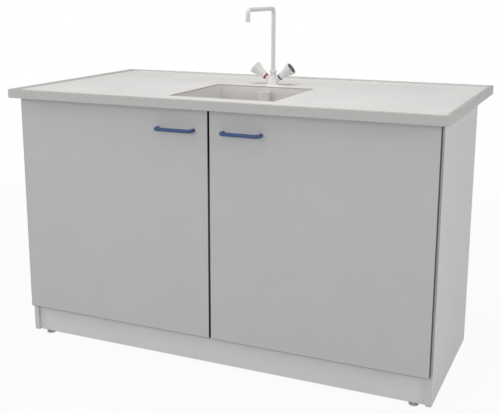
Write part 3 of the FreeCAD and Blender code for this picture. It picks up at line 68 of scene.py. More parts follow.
WORK_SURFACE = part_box("worktop_sheet")[1].z
TAP_Y = middle("tap_shank", 1)
NECK_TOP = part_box("tap_body")[1].z
SHOULDER_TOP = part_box("collar_nut")[0].z
BELL_HEIGHT = SHOULDER_TOP - WORK_SURFACE
BELL_FOOT, BELL_FOOT_RADIUS, BELL_FOOT_FILLET = 0.0025, 0.0202, 0.0005
BELL_HEIGHTS = [BELL_FOOT, 0.010, 0.018, 0.026, 0.032, BELL_HEIGHT]
BELL_RADII = [0.0204, 0.0186, 0.01685, 0.0152, 0.0130, 0.0103]
NECK_RADIUS = 0.009
BOSS_RADIUS, BOSS_START, BOSS_END, BOSS_EDGE = 0.0104, 0.002, 0.031, 0.0008
# Tap handles, along their axes from where those meet
HANDLE_TILT = math.radians(37.3)
HANDLE_CENTRE = (0.0, TAP_Y, WORK_SURFACE + 0.006)
RING_START, RING_WIDTH, RING_GAP = 0.0328, 0.006, 0.0001
RING_RADIUS, GLAND_RADIUS = 0.0120, 0.0073
GRIP_START = RING_START + RING_WIDTH
GRIP_LENGTH = 0.052
GRIP_END = GRIP_START + GRIP_LENGTH
GRIP_RADIUS, GRIP_FLARE, GRIP_HOLLOW = 0.0122, 0.0112, 0.0014
GRIP_BORE, GRIP_BORE_DEPTH = 0.0071, 0.02
CAP_SINK = 0.003
CAP_SEAT = GRIP_END - CAP_SINK
CAP_SOCKET = 0.0190
SPINDLE_RADIUS = 0.0041
# Spout, and the doors' bow handles
TUBE_RADIUS, TUBE_BORE, TUBE_BEND = 0.0075, 0.0060, 0.016
SPOUT_SOCKET = 0.010
SPOUT_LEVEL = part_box("spout")[1].z - TUBE_RADIUS
SPOUT_TIP_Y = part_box("spout")[0].y + TUBE_RADIUS
SPOUT_TIP_DROP = 0.0405
SPOUT_TIP_OPENING = 0.014
LIP_LENGTH, LIP_OUTER_EASE, LIP_INNER_EASE = 0.0005, 0.0004, 0.0002
BOW_BEND = 0.012
# Hinge links: half the thickness, the radii of the eye and of the hole round the arm's pin, the
# width along the pin and the eased edge; then the ends in the cups, across from the side panel's
# outer face and back from the door's face
LINK_HALF, LINK_EYE, LINK_HOLE = 0.0009, 0.0022, 0.00125
LINK_WIDTH, LINK_EDGE = 0.0025, 0.0002
LINK_ENDS = {"outer": (0.0138, 0.0095), "inner": (0.0147, 0.0149)}
# Screwed pieces
SHANK_THREAD, SHANK_PITCH = 0.0012, 0.0023
INLET_RADIUS, INLET_DEPTH, INLET_OFFSET = 0.0045, 0.012, 0.008
STUD_RADIUS, STUD_THREAD, STUD_PITCH = 0.004, 0.0006, 0.00125
FOOT_PAD, FOOT_HEX_TOP, FOOT_ACROSS_FLATS = 0.005, 0.008, 0.013
FOOT_TAPER, HEX_SUNK, HEX_CHAMFER, STUD_SUNK = 0.0002, 0.0005, (0.0005, 0.0004), 0.001
# Steps round and along a surface, and the angle from which an edge is drawn sharp
ROUND_STEPS = 72
THREAD_ROWS = 8
SHARP_ANGLE = math.radians(35)


# ---------------------------------------------------------------- surfaces
def grid_faces(rows, columns, wrap_rows=False):
    """Quads of a grid whose columns close into rings: (i, j) joins (i + 1, j) and (i, j + 1)."""
    count = rows if wrap_rows else rows - 1
    i = np.arange(count)[:, None]
    j = np.arange(columns)[None, :]
    i_next, j_next = (i + 1) % rows, (j + 1) % columns
    quads = [i * columns + j, i * columns + j_next,
             i_next * columns + j_next, i_next * columns + j]
    return np.stack(np.broadcast_arrays(*quads), -1).reshape(-1, 4)


def make_piece(name, shells, body, slot):
    """One object from closed (points, [face arrays]) shells, all turned to face outwards."""
    all_points, all_faces, offset = [], [], 0
    for points, face_arrays in shells:
        all_points.append(points)
        for faces in face_arrays:
            all_faces += (faces + offset).tolist()
        offset += len(points)
    mesh = bpy.data.meshes.new(name)
    mesh.from_pydata(np.concatenate(all_points).tolist(), [], all_faces)
    edit = bmesh.new()
    edit.from_mesh(mesh)
    bmesh.ops.remove_doubles(edit, verts=edit.verts, dist=1e-7)
    bmesh.ops.dissolve_degenerate(edit, edges=edit.edges, dist=1e-8)
    bmesh.ops.recalc_face_normals(edit, faces=edit.faces)
    edit.to_mesh(mesh)
    edit.free()
    mesh.polygons.foreach_set("use_smooth", np.ones(len(mesh.polygons), bool))
    mesh.set_sharp_from_angle(angle=SHARP_ANGLE)
    piece = bpy.data.objects.new(name, mesh)
    bpy.context.scene.collection.objects.link(piece)
    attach(piece, body)
    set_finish(piece, slot)
    return piece


def rounded(corners, radii, steps=5):
    """A polyline whose corners become arcs, each tangent to the two runs that meet there."""
    corners = np.asarray(corners, float)
    radii = np.broadcast_to(np.asarray(radii, float), len(corners))
    points = [corners[:1]]
    for before, corner, after, radius in zip(corners, corners[1:], corners[2:], radii[1:]):
        into = (corner - before) / np.linalg.norm(corner - before)
        out = (after - corner) / np.linalg.norm(after - corner)
        turn = math.acos(float(np.clip(into @ out, -1, 1)))
        if radius <= 0 or turn < 1e-3:
            points.append(corner[None])
            continue
        setback = radius * math.tan(turn / 2)
        bisector = (out - into) / np.linalg.norm(out - into)
        centre = corner + bisector * radius / math.cos(turn / 2)
        start = corner - into * setback - centre
        angles = np.linspace(0, turn, steps + 1)[:, None]
        points.append(centre + start * np.cos(angles) + into * radius * np.sin(angles))
    points.append(corners[-1:])
    return np.concatenate(points)


def axis_frame(direction):
    """Two unit vectors square to a direction, and the direction."""
    along = np.asarray(direction, float)
    along = along / np.linalg.norm(along)
    helper = np.array([0.0, 1.0, 0.0]) if abs(along[1]) < 0.9 else np.array([1.0, 0.0, 0.0])
    first = np.cross(helper, along)
    first /= np.linalg.norm(first)
    return first, np.cross(along, first), along


def turned(profile, base, direction=(0, 0, 1), steps=ROUND_STEPS, closed=False):
    """Surface of revolution: point(u, v) = base + r(u) (cos v, sin v) across the axis + h(u) along
    it, for a profile of points (r, h). A closed profile joins its last point to its first."""
    profile = np.asarray(profile, float)
    radii, heights = profile[:, 0, None, None], profile[:, 1, None, None]
    first, second, along = axis_frame(direction)
    angles = np.linspace(0, 2 * np.pi, steps, endpoint=False)
    ring = np.cos(angles)[:, None] * first + np.sin(angles)[:, None] * second
    points = np.asarray(base, float) + radii * ring + heights * along
    return points.reshape(-1, 3), [grid_faces(len(profile), steps, closed)]


def threaded(radius, depth, pitch, length, base, direction=(0, 0, 1), steps=32,
             closed_end=True):
    """Single-start screw thread along an axis: r(h, v) = radius - depth (1 - ridge), where ridge is a
    flat-topped wave of h / pitch - v / 2 pi that fades to the root over one pitch at each end."""
    first, second, along = axis_frame(direction)
    heights = np.linspace(0, length, int(round(length / pitch * THREAD_ROWS)) + 1)
    angles = np.linspace(0, 2 * np.pi, steps, endpoint=False)
    phase = (heights[:, None] / pitch - angles / (2 * np.pi)) % 1
    ridge = np.clip(2.5 - 5 * np.abs(phase - 0.5), 0, 1)
    fade = np.clip(np.minimum(heights, length - heights) / pitch, 0, 1)[:, None]
    reach = radius - depth * (1 - ridge * fade)
    around = np.cos(angles)[:, None] * first + np.sin(angles)[:, None] * second
    points = np.asarray(base, float) + reach[:, :, None] * around + heights[:, None, None] * along
    start = np.broadcast_to(np.asarray(base, float), (1, steps, 3))
    rows = [start, points] + ([start + length * along] if closed_end else [])
    points = np.concatenate(rows)
    return points.reshape(-1, 3), [grid_faces(len(points), steps)]


def drilled_end(ring, centres, radius, depth, steps=24):
    """Flat end inside a ring of points, with blind round holes that run up from it by depth."""
    angles = np.linspace(0, 2 * np.pi, steps, endpoint=False)
    circle = np.stack([np.cos(angles), np.sin(angles), np.zeros(steps)], 1) * radius
    rims = [circle + centre for centre in np.asarray(centres, float)]
    loops = [ring] + rims
    filled = tessellate_polygon([[Vector(point) for point in loop] for loop in loops])
    shells = [(np.concatenate(loops), [np.array(filled)])]
    inward = np.array([0.0, 0.0, depth])
    for rim in rims:
        floor = np.broadcast_to(rim.mean(0) + inward, (steps, 3))
        shells.append((np.concatenate([rim, rim + inward, floor]), [grid_faces(3, steps)]))
    return shells


def swept(path, radii, plane_normal, steps=32):
    """Tube along a flat path: point(u, v) = path(u) + r(u) (cos v n + sin v n x t), with n the
    plane's normal and t the path's direction. radii lists the (path index, radius) rings in order,
    so a tube can turn back inside itself."""
    path = np.asarray(path, float)
    tangent = np.gradient(path, axis=0)
    tangent[0] = path[1] - path[0]
    tangent[-1] = path[-1] - path[-2]
    tangent /= np.linalg.norm(tangent, axis=1)[:, None]
    normal = np.asarray(plane_normal, float)
    across = np.cross(normal, tangent)
    index = np.array([item[0] for item in radii])
    radius = np.array([item[1] for item in radii])[:, None, None]
    angles = np.linspace(0, 2 * np.pi, steps, endpoint=False)
    cosine, sine = np.cos(angles)[None, :, None], np.sin(angles)[None, :, None]
    ring = cosine * normal + sine * across[index][:, None]
    points = path[index][:, None] + radius * ring
    return points.reshape(-1, 3), [grid_faces(len(index), steps)]


# ---------------------------------------------------------------- finishes
def srgb(red, green, blue):
    """Linear colour from 0-255 display values."""
    values = [value / 255 for value in (red, green, blue)]
    return [value / 12.92 if value <= 0.04045 else ((value + 0.055) / 1.055) ** 2.4
            for value in values]


class Value:
    """A node's output that takes part in Python sums."""

    def __init__(self, tree, socket):
        self.tree, self.socket = tree, socket

    def sum_with(self, operation, first, second, clamp=False):
        settings = {"operation": operation, "use_clamp": clamp}
        return self.tree.node("Math", settings, {0: first, 1: second})

    def __add__(self, other):
        return self.sum_with("ADD", self, other)

    def __sub__(self, other):
        return self.sum_with("SUBTRACT", self, other)

    def __rsub__(self, other):
        return self.sum_with("SUBTRACT", other, self)

    def __mul__(self, other):
        return self.sum_with("MULTIPLY", self, other)

    __radd__ = __add__
    __rmul__ = __mul__

    def held(self):
        """The value kept between 0 and 1."""
        return self.sum_with("ADD", self, 0.0, clamp=True)

    def above(self, low, high):
        """0 below low, 1 above high, straight between."""
        return ((self - low) * (1 / (high - low))).held()


class NodeTree:
    """Nodes of a material or of the world."""

    def __init__(self, tree):
        self.tree = tree

    def feed(self, socket, value):
        """Link or set one socket; a colour of three numbers gets full opacity."""
        if isinstance(value, Value):
            self.tree.links.new(value.socket, socket)
        elif socket.type == "RGBA" and len(value) == 3:
            socket.default_value = (*value, 1)
        else:
            socket.default_value = value

    def node(self, kind, settings=None, sockets=None, out=0):
        """One node from its type, its settings, and the values or links of its sockets."""
        node = self.tree.nodes.new("ShaderNode" + kind)
        for key, value in (settings or {}).items():
            setattr(node, key, value)
        for key, value in (sockets or {}).items():
            self.feed(node.inputs[key], value)
        return Value(self, node.outputs[out])

    def part(self, vector, axis):
        """One axis of a vector, x, y or z by 0, 1 or 2."""
        return self.node("SeparateXYZ", None, {0: vector}, out=axis)

    def seen_by(self, *rays):
        """1 for the named kinds of ray, else 0."""
        return sum(self.node("LightPath", out="Is %s Ray" % ray) for ray in rays).held()

    def show(self, output_name, surface):
        self.feed(self.tree.nodes[output_name].inputs["Surface"], surface)


class Finish(NodeTree):
    """A material in the making. Keyword values go straight onto the shader's own sockets."""

    def __init__(self, name, **plain):
        self.material = bpy.data.materials.new(name)
        self.material.use_nodes = True
        super().__init__(self.material.node_tree)
        self.shader = self.tree.nodes["Principled BSDF"]
        for socket_name, value in plain.items():
            self.shader.inputs[socket_name.replace("_", " ")].default_value = value
        self.place = self.node("TexCoord", out="Object")

    def facing(self, axis):
        """The surface's own direction along one axis."""
        return self.part(self.node("TexCoord", out="Normal"), axis)

    def noise(self, scale, detail=3.0, place=None, roughness=0.5):
        """Soft noise around 0.5, in the piece's own coordinates unless another place is given."""
        return self.node("TexNoise", None, {"Vector": place or self.place, "Scale": scale,
                                            "Detail": detail, "Roughness": roughness})

    def stretched(self, scale):
        """Object coordinates scaled along each axis."""
        return self.node("Mapping", None, {"Vector": self.place, "Scale": scale})

    def blend(self, factor, first, second):
        return self.node("Mix", {"data_type": "RGBA"}, {0: factor, 6: first, 7: second}, out=2)

    def set(self, **wanted):
        """Feed the shader's sockets and hand over the material."""
        for socket_name, value in wanted.items():
            self.feed(self.shader.inputs[socket_name.replace("_", " ")], value)
        return self.material

    def bump(self, height, distance, strength):
        return self.node("Bump", None, {"Height": height, "Distance": distance, "Strength": strength})


def shade(colour, factor):
    """A colour made darker or lighter."""
    return [min(1.0, value * factor) for value in colour]


def laminate(name, colour, face_axis, gloss=0.42):
    """Melamine-faced board: a fine pearl emboss, faint pulp clouding, slightly uneven sheen, and
    smoother bands a shade darker on the narrow edges, which face away from the board's axis."""
    finish = Finish(name, Specular_IOR_Level=0.4)
    cloud = finish.noise(9.0, 2.0).above(0.35, 0.65)
    fleck = finish.noise(900.0, 2.0).above(0.35, 0.7)
    pearl = finish.noise(1500.0, 1.0)
    across = finish.facing(face_axis)
    edge = 1 - (across * across).above(0.3, 0.7)
    tone = (cloud * 0.7 + fleck * 0.3) * (1 - edge * 0.6)
    return finish.set(Base_Color=finish.blend(tone, shade(colour, 0.985), shade(colour, 1.01)),
                      Roughness=fleck * 0.06 + (gloss - 0.03) - edge * 0.08,
                      Normal=finish.bump(pearl * (1 - edge), 0.00012, 0.35))


def moulded(name, colour, gloss, grain=700.0, spread=0.02):
    """Plastic: fine orange-peel, slight clouding in the colour and the sheen."""
    finish = Finish(name)
    cloud = finish.noise(25.0, 3.0).above(0.3, 0.7)
    peel = finish.noise(grain, 2.0)
    dark, light = shade(colour, 1 - spread), shade(colour, 1 + spread)
    return finish.set(Base_Color=finish.blend(cloud, dark, light),
                      Roughness=cloud * 0.06 + (gloss - 0.03),
                      Normal=finish.bump(peel, 0.00006, 0.5))


def coated_metal(name, colour, gloss):
    """Powder coat: dense fine peel over the metal, with the sheen broken by it."""
    finish = Finish(name, Specular_IOR_Level=0.35)
    peel = finish.noise(1300.0, 2.0)
    cloud = finish.noise(60.0, 2.0).above(0.3, 0.7)
    tone = peel.above(0.3, 0.7) * 0.5 + cloud * 0.5
    return finish.set(Base_Color=finish.blend(tone, shade(colour, 0.985), shade(colour, 1.012)),
                      Roughness=peel * 0.12 + (gloss - 0.06),
                      Normal=finish.bump(peel, 0.00003, 0.3))


def plated(name, colour, gloss=0.34):
    """Zinc or brass: fine draw lines and cloudy passivation."""
    finish = Finish(name, Metallic=1.0)
    lines = finish.noise(1.0, 3.0, finish.stretched((90.0, 90.0, 1800.0)))
    cloud = finish.noise(120.0, 3.0).above(0.3, 0.7)
    return finish.set(Base_Color=finish.blend(cloud, shade(colour, 0.85), shade(colour, 1.08)),
                      Roughness=lines * 0.2 + (gloss - 0.1),
                      Normal=finish.bump(lines, 0.00004, 0.5))


def worktop_finish():
    """Welded plastic sheet: satin grain, faint wiping marks, darker and rougher on faces not facing
    up.
    """
    finish = Finish("worktop_plastic")
    cloud = finish.noise(5.0, 3.0).above(0.3, 0.7)
    grain = finish.noise(1100.0, 2.0)
    wipes = finish.noise(1.0, 4.0, finish.stretched((14.0, 240.0, 20.0)), 0.6).above(0.5, 0.85)
    # Faces that do not face up, the cut edge round the bowl among them, take a darker tone and more
    # roughness
    not_facing_up = 1 - finish.facing(2).above(0.2, 0.8)
    face = finish.blend(cloud, srgb(228, 226, 224), srgb(231, 229, 227))
    colour = finish.blend(not_facing_up, face, srgb(176, 174, 171))
    return finish.set(Base_Color=colour, Roughness=cloud * 0.05 + wipes * 0.06 + not_facing_up * 0.15 + 0.4,
                      Normal=finish.bump(grain, 0.00008, 0.4))


def core_board():
    """Chipboard: pale and dark chips, with a plain grey backing sheet on the underside."""
    finish = Finish("core_board", Roughness=0.8)
    chips = finish.node("TexVoronoi", None, {"Vector": finish.place, "Scale": 420.0}, out="Color")
    grey = finish.node("RGBToBW", None, {"Color": chips})
    chip_colour = finish.blend(grey, srgb(150, 120, 84), srgb(206, 182, 142))
    backed = (finish.facing(2) * -1).above(0.5, 0.9)
    colour = finish.blend(backed, chip_colour, srgb(196, 196, 194))
    return finish.set(Base_Color=colour, Normal=finish.bump(grey * (1 - backed), 0.0003, 0.5))


BOARD_COLOUR = srgb(209, 209, 207)
# Plinths and rails take the board laminate written lighter: painted light that offsets the shade under
# the doors
PLINTH_PAINTED_LIGHTER = srgb(222, 222, 220)
FINISHES = {
    "board": laminate("board", BOARD_COLOUR, 0),
    "board_level": laminate("board_level", BOARD_COLOUR, 2),
    "board_across": laminate("board_across", PLINTH_PAINTED_LIGHTER, 1),
    "door_board": laminate("door_board", srgb(194, 194, 194), 1),
    "core_board": core_board(),
    "worktop_plastic": worktop_finish(),
    "rim_plastic": moulded("rim_plastic", srgb(189, 188, 186), 0.45, spread=0.008),
    "bowl_plastic": moulded("bowl_plastic", srgb(214, 212, 209), 0.4, 500.0, spread=0.008),
    "dark_band": moulded("dark_band", srgb(46, 46, 48), 0.5, 900.0, spread=0.12),
    "blue_bar": coated_metal("blue_bar", srgb(62, 82, 128), 0.45),
    "white_waste": moulded("white_waste", srgb(228, 228, 224), 0.3, 300.0),
    "seal_rubber": moulded("seal_rubber", srgb(38, 38, 40), 0.7, 800.0, spread=0.15),
    "tap_coating": coated_metal("tap_coating", srgb(214, 212, 209), 0.5),
    "tap_brass": plated("tap_brass", srgb(206, 172, 104)),
    "index_red": moulded("index_red", srgb(172, 32, 36), 0.5, spread=0.05),
    "index_blue": moulded("index_blue", srgb(34, 50, 110), 0.5, spread=0.05),
    "cap_grey": moulded("cap_grey", srgb(74, 86, 82), 0.3, spread=0.05),
    "button_hot": moulded("button_hot", srgb(158, 112, 112), 0.3, spread=0.05),
    "button_cold": moulded("button_cold", srgb(112, 126, 150), 0.3, spread=0.05),
    "zinc_steel": plated("zinc_steel", srgb(196, 198, 202)),
    "foot_plastic": moulded("foot_plastic", srgb(180, 180, 175), 0.45),
}
# Boards that face up or forward, and the valve heads, whose collars are coated like the tap
FINISH_BY_NODE = {"bottom_panel": "board_level", "front_rail": "board_across",
                  "back_rail": "board_across", "plinth_front": "board_across",
                  "plinth_rear": "board_across", "valve_heads": "tap_coating"}

for part in frame["record"]["subparts"]:
    carried = NODES[part["node"]]
    carried.data.materials.clear()
    carried.data.materials.append(FINISHES[FINISH_BY_NODE.get(part["node"], part["material_slot"])])


def finished(piece, *nodes, finish=None):
    """Give a new piece its finish, and let it stand for its CAD nodes."""
    piece.data.materials.append(FINISHES[finish or piece["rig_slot"]])
    if nodes:
        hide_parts(*nodes)
    return piece


# ---------------------------------------------------------------- tap
HANDLE_SIDES = {"hot": -1, "cold": 1}


def handle_axis(side):
    """Unit vector out along the handle on one side, -1 or 1."""
    return side * math.cos(HANDLE_TILT), 0.0, math.sin(HANDLE_TILT)


def tap_bell():
    """Bell with a small foot fillet, a concave flank and a neck, and the two sloping bosses."""
    heights = np.linspace(BELL_FOOT, BELL_HEIGHT, 18)
    flank = np.stack([np.interp(heights, BELL_HEIGHTS, BELL_RADII), heights + WORK_SURFACE], 1)
    foot = rounded([(0, WORK_SURFACE), (BELL_FOOT_RADIUS, WORK_SURFACE), flank[0]], BELL_FOOT_FILLET)
    neck = [[NECK_RADIUS, SHOULDER_TOP], [NECK_RADIUS, NECK_TOP], [0, NECK_TOP]]
    shells = [turned(np.concatenate([foot, flank[1:], neck]), (0, TAP_Y, 0))]
    boss = rounded([(0, BOSS_START), (BOSS_RADIUS, BOSS_START),
                    (BOSS_RADIUS, BOSS_END), (0, BOSS_END)], BOSS_EDGE)
    for side in HANDLE_SIDES.values():
        shells.append(turned(boss, HANDLE_CENTRE, handle_axis(side)))
    return shells


def collar_profile():
    """Ring that swells to its middle and closes in on the riser."""
    low = SHOULDER_TOP
    corners = [(0.0088, low), (0.0100, low), (0.0104, low + 0.0035), (0.0134, low + 0.0085),
               (0.0136, low + 0.0120), (0.0100, low + 0.0160), (0.0076, low + 0.0160),
               (0.0076, low + 0.008)]
    return rounded(corners, [0, 0.0004, 0.002, 0.0022, 0.0016, 0.0008, 0, 0], 6)


def spout_shell():
    """Swan neck swept along riser, level run and tip, open at the tip with a turned-in wall."""
    corners = [(0, TAP_Y, NECK_TOP - SPOUT_SOCKET), (0, TAP_Y, SPOUT_LEVEL),
               (0, SPOUT_TIP_Y, SPOUT_LEVEL), (0, SPOUT_TIP_Y, SPOUT_LEVEL - SPOUT_TIP_DROP)]
    path = rounded(corners, TUBE_BEND, 14)
    back_up = (path[-2] - path[-1]) / np.linalg.norm(path[-2] - path[-1])
    near_tip = path[-1] + back_up * [[SPOUT_TIP_OPENING], [LIP_LENGTH]]
    path = np.concatenate([path[:-1], near_tip, path[-1:]])
    last = len(path) - 1
    rings = [(0, 0.0)] + [(index, TUBE_RADIUS) for index in range(last)]
    rings += [(last, TUBE_RADIUS - LIP_OUTER_EASE), (last, TUBE_BORE + LIP_INNER_EASE),
              (last - 1, TUBE_BORE), (last - 2, TUBE_BORE), (last - 2, 0.0)]
    return swept(path, rings, (1, 0, 0))


def grip_profile():
    """Flared grip: a barely hollow flank, a soft outer lip and a shallow dished end."""
    t = np.linspace(0, 1, 16)
    radius = GRIP_RADIUS + GRIP_FLARE * t - GRIP_HOLLOW * np.sin(np.pi * t)
    flank = np.stack([radius, GRIP_START + (GRIP_LENGTH - CAP_SINK) * t], 1)
    lip = rounded([flank[-1], (0.0236, GRIP_END - 0.0006), (0.0195, GRIP_END),
                   (CAP_SOCKET, GRIP_END - 0.0010)], [0, 0.0012, 0.0008, 0], 5)
    bore_end = GRIP_START + GRIP_BORE_DEPTH
    inside = [[CAP_SOCKET, CAP_SEAT], [SPINDLE_RADIUS, CAP_SEAT], [SPINDLE_RADIUS, bore_end],
              [GRIP_BORE, bore_end]]
    return np.concatenate([[[GRIP_BORE, GRIP_START]], flank, lip[1:], inside])


def cap_profile():
    """Disc with a raised rim round a dish."""
    return rounded([(0.0020, CAP_SEAT - 0.0002), (0.0186, CAP_SEAT - 0.0002),
                    (0.0188, CAP_SEAT + 0.0020), (0.0178, CAP_SEAT + 0.0019),
                    (0.0172, CAP_SEAT + 0.0013), (0.0020, CAP_SEAT + 0.0013)],
                   [0, 0, 0.0004, 0.0003, 0.0004, 0], 4)


def cap_button_profile():
    """Low dome in the cap's middle."""
    return rounded([(0, CAP_SEAT + 0.0006), (0.0080, CAP_SEAT + 0.0006),
                    (0.0077, CAP_SEAT + 0.0019), (0, CAP_SEAT + 0.0022)], [0, 0, 0.0006, 0])


def ring_profile():
    """Index ring with eased edges."""
    start, end = RING_START + RING_GAP, RING_START + RING_WIDTH - RING_GAP
    return rounded([(GLAND_RADIUS, start), (RING_RADIUS, start),
                    (RING_RADIUS, end), (GLAND_RADIUS, end)], [0, 0.0007, 0.0007, 0])


def handle_piece(name, kind, profile, slot, closed=True):
    """Piece turned about the hot or the cold handle's axis, on that handle's body."""
    surface = turned(profile, HANDLE_CENTRE, handle_axis(HANDLE_SIDES[kind]), closed=closed)
    return make_piece(name + kind, [surface], kind + "_control", slot)


finished(make_piece("tap_bell_and_bosses", tap_bell(), "cabinet", "tap_coating"), "tap_body")
collar = turned(collar_profile(), (0, TAP_Y, 0), closed=True)
finished(make_piece("collar_ring", [collar], "cabinet", "tap_coating"), "collar_nut")
finished(make_piece("swan_neck", [spout_shell()], "swivel_spout", "tap_coating"), "spout")
for kind, index_slot in (("hot", "index_red"), ("cold", "index_blue")):
    finished(handle_piece("flared_handle_", kind, grip_profile(), "tap_coating"), "tap_handle_" + kind)
    finished(handle_piece("index_band_", kind, ring_profile(), index_slot), "index_ring_" + kind)
    finished(handle_piece("end_cap_", kind, cap_profile(), "cap_grey"), "tap_handle_cap_" + kind)
    finished(handle_piece("cap_button_", kind, cap_button_profile(), index_slot, closed=False),
             finish="button_" + kind)


# ---------------------------------------------------------------- bow handles
def bow_shell(node):
    """Round bar swept from foot to foot of a door handle, from the handle's own box."""
    low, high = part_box(node)
    radius = (high.z - low.z) / 2
    z, bar = middle(node, 2), low.y + radius
    near, far = low.x + radius, high.x - radius
    path = rounded([(near, high.y, z), (near, bar, z), (far, bar, z), (far, high.y, z)], BOW_BEND, 12)
    last = len(path) - 1
    rings = [(0, 0.0)] + [(index, radius) for index in range(last + 1)] + [(last, 0.0)]
    return swept(path, rings, (0, 0, 1))


for side_name in ("left", "right"):
    node = "bow_handle_" + side_name
    finished(make_piece("bow_bar_" + side_name, [bow_shell(node)], "door_%s_leaf" % side_name,
                        "blue_bar"), node)


# ---------------------------------------------------------------- hinge links
def link_outline(length, half, eye):
    """Round end of radius half at (length, 0), joined by straight sides to an eye round the origin."""
    end = np.linspace(-np.pi / 2, np.pi / 2, 13)
    meeting = math.asin(half / eye)
    back = np.linspace(meeting, 2 * np.pi - meeting, 37)
    return np.concatenate([np.stack([length + half * np.cos(end), half * np.sin(end)], 1),
                           np.stack([eye * np.cos(back), eye * np.sin(back)], 1)])


def stamped_link(pin, end, low):
    """Link from an arm's pin to its end: rings of its outline, drawn in at both edges and closed
    through the pin's hole, stacked from the level low."""
    run = np.subtract(end, pin)
    length = math.hypot(*run)
    full = link_outline(length, LINK_HALF, LINK_EYE)
    eased = link_outline(length, LINK_HALF - LINK_EDGE, LINK_EYE - LINK_EDGE)
    hole = full * (LINK_HOLE / np.linalg.norm(full, axis=1))[:, None]
    high = low + LINK_WIDTH
    rings = [(hole, low), (eased, low), (full, low + LINK_EDGE),
             (full, high - LINK_EDGE), (eased, high), (hole, high)]
    along = run / length
    turn = np.array([along, (-along[1], along[0])])
    points = [np.column_stack([ring @ turn + pin, np.full(len(ring), level)])
              for ring, level in rings]
    return np.concatenate(points), [grid_faces(len(rings), len(full), wrap_rows=True)]


joints = frame["record"]["behaviour"]["joints"]
pin_places = {joint["name"]: joint.get("pos_m") for joint in joints}
panel_face, door_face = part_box("side_panel_right")[1].x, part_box("door_left")[0].y
for which, (across_to_end, back_to_end) in LINK_ENDS.items():
    for side_name, sign in (("left", -1), ("right", 1)):
        node = "hinge_%s_links_%s" % (which, side_name)
        low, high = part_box(node)
        pin = pin_places["%s_link_turn_%s" % (which, side_name)][:2]
        end = (sign * (panel_face - across_to_end), door_face + back_to_end)
        links = [stamped_link(pin, end, level) for level in (low.z, high.z - LINK_WIDTH)]
        finished(make_piece("stamped_%s_links_%s" % (which, side_name), links,
                            "%s_link_pair_%s" % (which, side_name), "zinc_steel"), node)


# ---------------------------------------------------------------- screwed pieces
def shank_shells():
    """Tap's threaded tail with two hose sockets in its end."""
    low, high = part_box("tap_shank")
    steps = 64
    points, faces = threaded((high.x - low.x) / 2, SHANK_THREAD, SHANK_PITCH, high.z - low.z,
                             (0, TAP_Y, high.z), (0, 0, -1), steps, closed_end=False)
    centres = [(side * INLET_OFFSET, TAP_Y, low.z) for side in (-1, 1)]
    return [(points, faces)] + drilled_end(points[-steps:], centres, INLET_RADIUS, INLET_DEPTH)


def foot_shells(node):
    """Levelling foot: an eased pad, a chamfered hexagon and a threaded stud."""
    low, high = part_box(node)
    pad_radius = (high.x - low.x) / 2
    corner = FOOT_ACROSS_FLATS / 2 / math.cos(math.pi / 6)
    centre = (middle(node, 0), middle(node, 1), low.z)
    disc = rounded([(0, 0), (pad_radius - FOOT_TAPER, 0), (pad_radius, FOOT_PAD), (0, FOOT_PAD)],
                   [0, 0.0003, 0.0015, 0])
    inward, down = HEX_CHAMFER
    nut = [(0, FOOT_PAD - HEX_SUNK), (corner, FOOT_PAD - HEX_SUNK), (corner, FOOT_HEX_TOP - down),
           (corner - inward, FOOT_HEX_TOP), (0, FOOT_HEX_TOP)]
    stud_start = FOOT_HEX_TOP - STUD_SUNK
    stud = threaded(STUD_RADIUS, STUD_THREAD, STUD_PITCH, high.z - low.z - stud_start,
                    (centre[0], centre[1], low.z + stud_start))
    return [turned(disc, centre), turned(nut, centre, steps=6), stud]


finished(make_piece("threaded_tail", shank_shells(), "cabinet", "tap_brass"), "tap_shank")
for depth_name in ("front", "rear"):
    for side_name in ("left", "right"):
        node = "foot_%s_%s" % (depth_name, side_name)
        finished(make_piece("levelling_" + node, foot_shells(node),
                            "foot_" + depth_name[0] + side_name[0], "foot_plastic"), node)


# ---------------------------------------------------------------- camera
FOCAL_PX, CENTRE_X_PX, CENTRE_Y_PX = 844.0, 240.2, 169.65
IMAGE_WIDTH, IMAGE_HEIGHT = 500, 414
SENSOR = 36.0               # millimetres
YAW, PITCH = math.radians(24.42), math.radians(12.19)
EYE = (1.1682, -2.6984, 1.2407)

camera_data = bpy.data.cameras.new("camera")
camera_data.sensor_width = SENSOR
camera_data.sensor_fit = "HORIZONTAL"
camera_data.lens = FOCAL_PX * SENSOR / IMAGE_WIDTH
camera_data.shift_x = (IMAGE_WIDTH / 2 - CENTRE_X_PX) / IMAGE_WIDTH
camera_data.shift_y = (CENTRE_Y_PX - IMAGE_HEIGHT / 2) / IMAGE_WIDTH
camera = bpy.data.objects.new("camera", camera_data)
bpy.context.scene.collection.objects.link(camera)
looking = Vector((-math.sin(YAW) * math.cos(PITCH), math.cos(YAW) * math.cos(PITCH),
                  -math.sin(PITCH)))
camera.location = EYE
camera.rotation_euler = looking.to_track_quat("-Z", "Y").to_euler()
bpy.context.scene.camera = camera


# ---------------------------------------------------------------- studio
WHITE = (1, 1, 1)
FLOOR_HALF, FLOOR_TONE = 30.0, 0.6
FLOOR_SHADE = 0.06          # how much of the floor's own light shows near the object
SHADE_FADE = (2.0, 14.0)    # squares of the distances between which that share runs out
AMBIENT = 0.1
OBJECT_MIDDLE = (0, 0, 0.5)


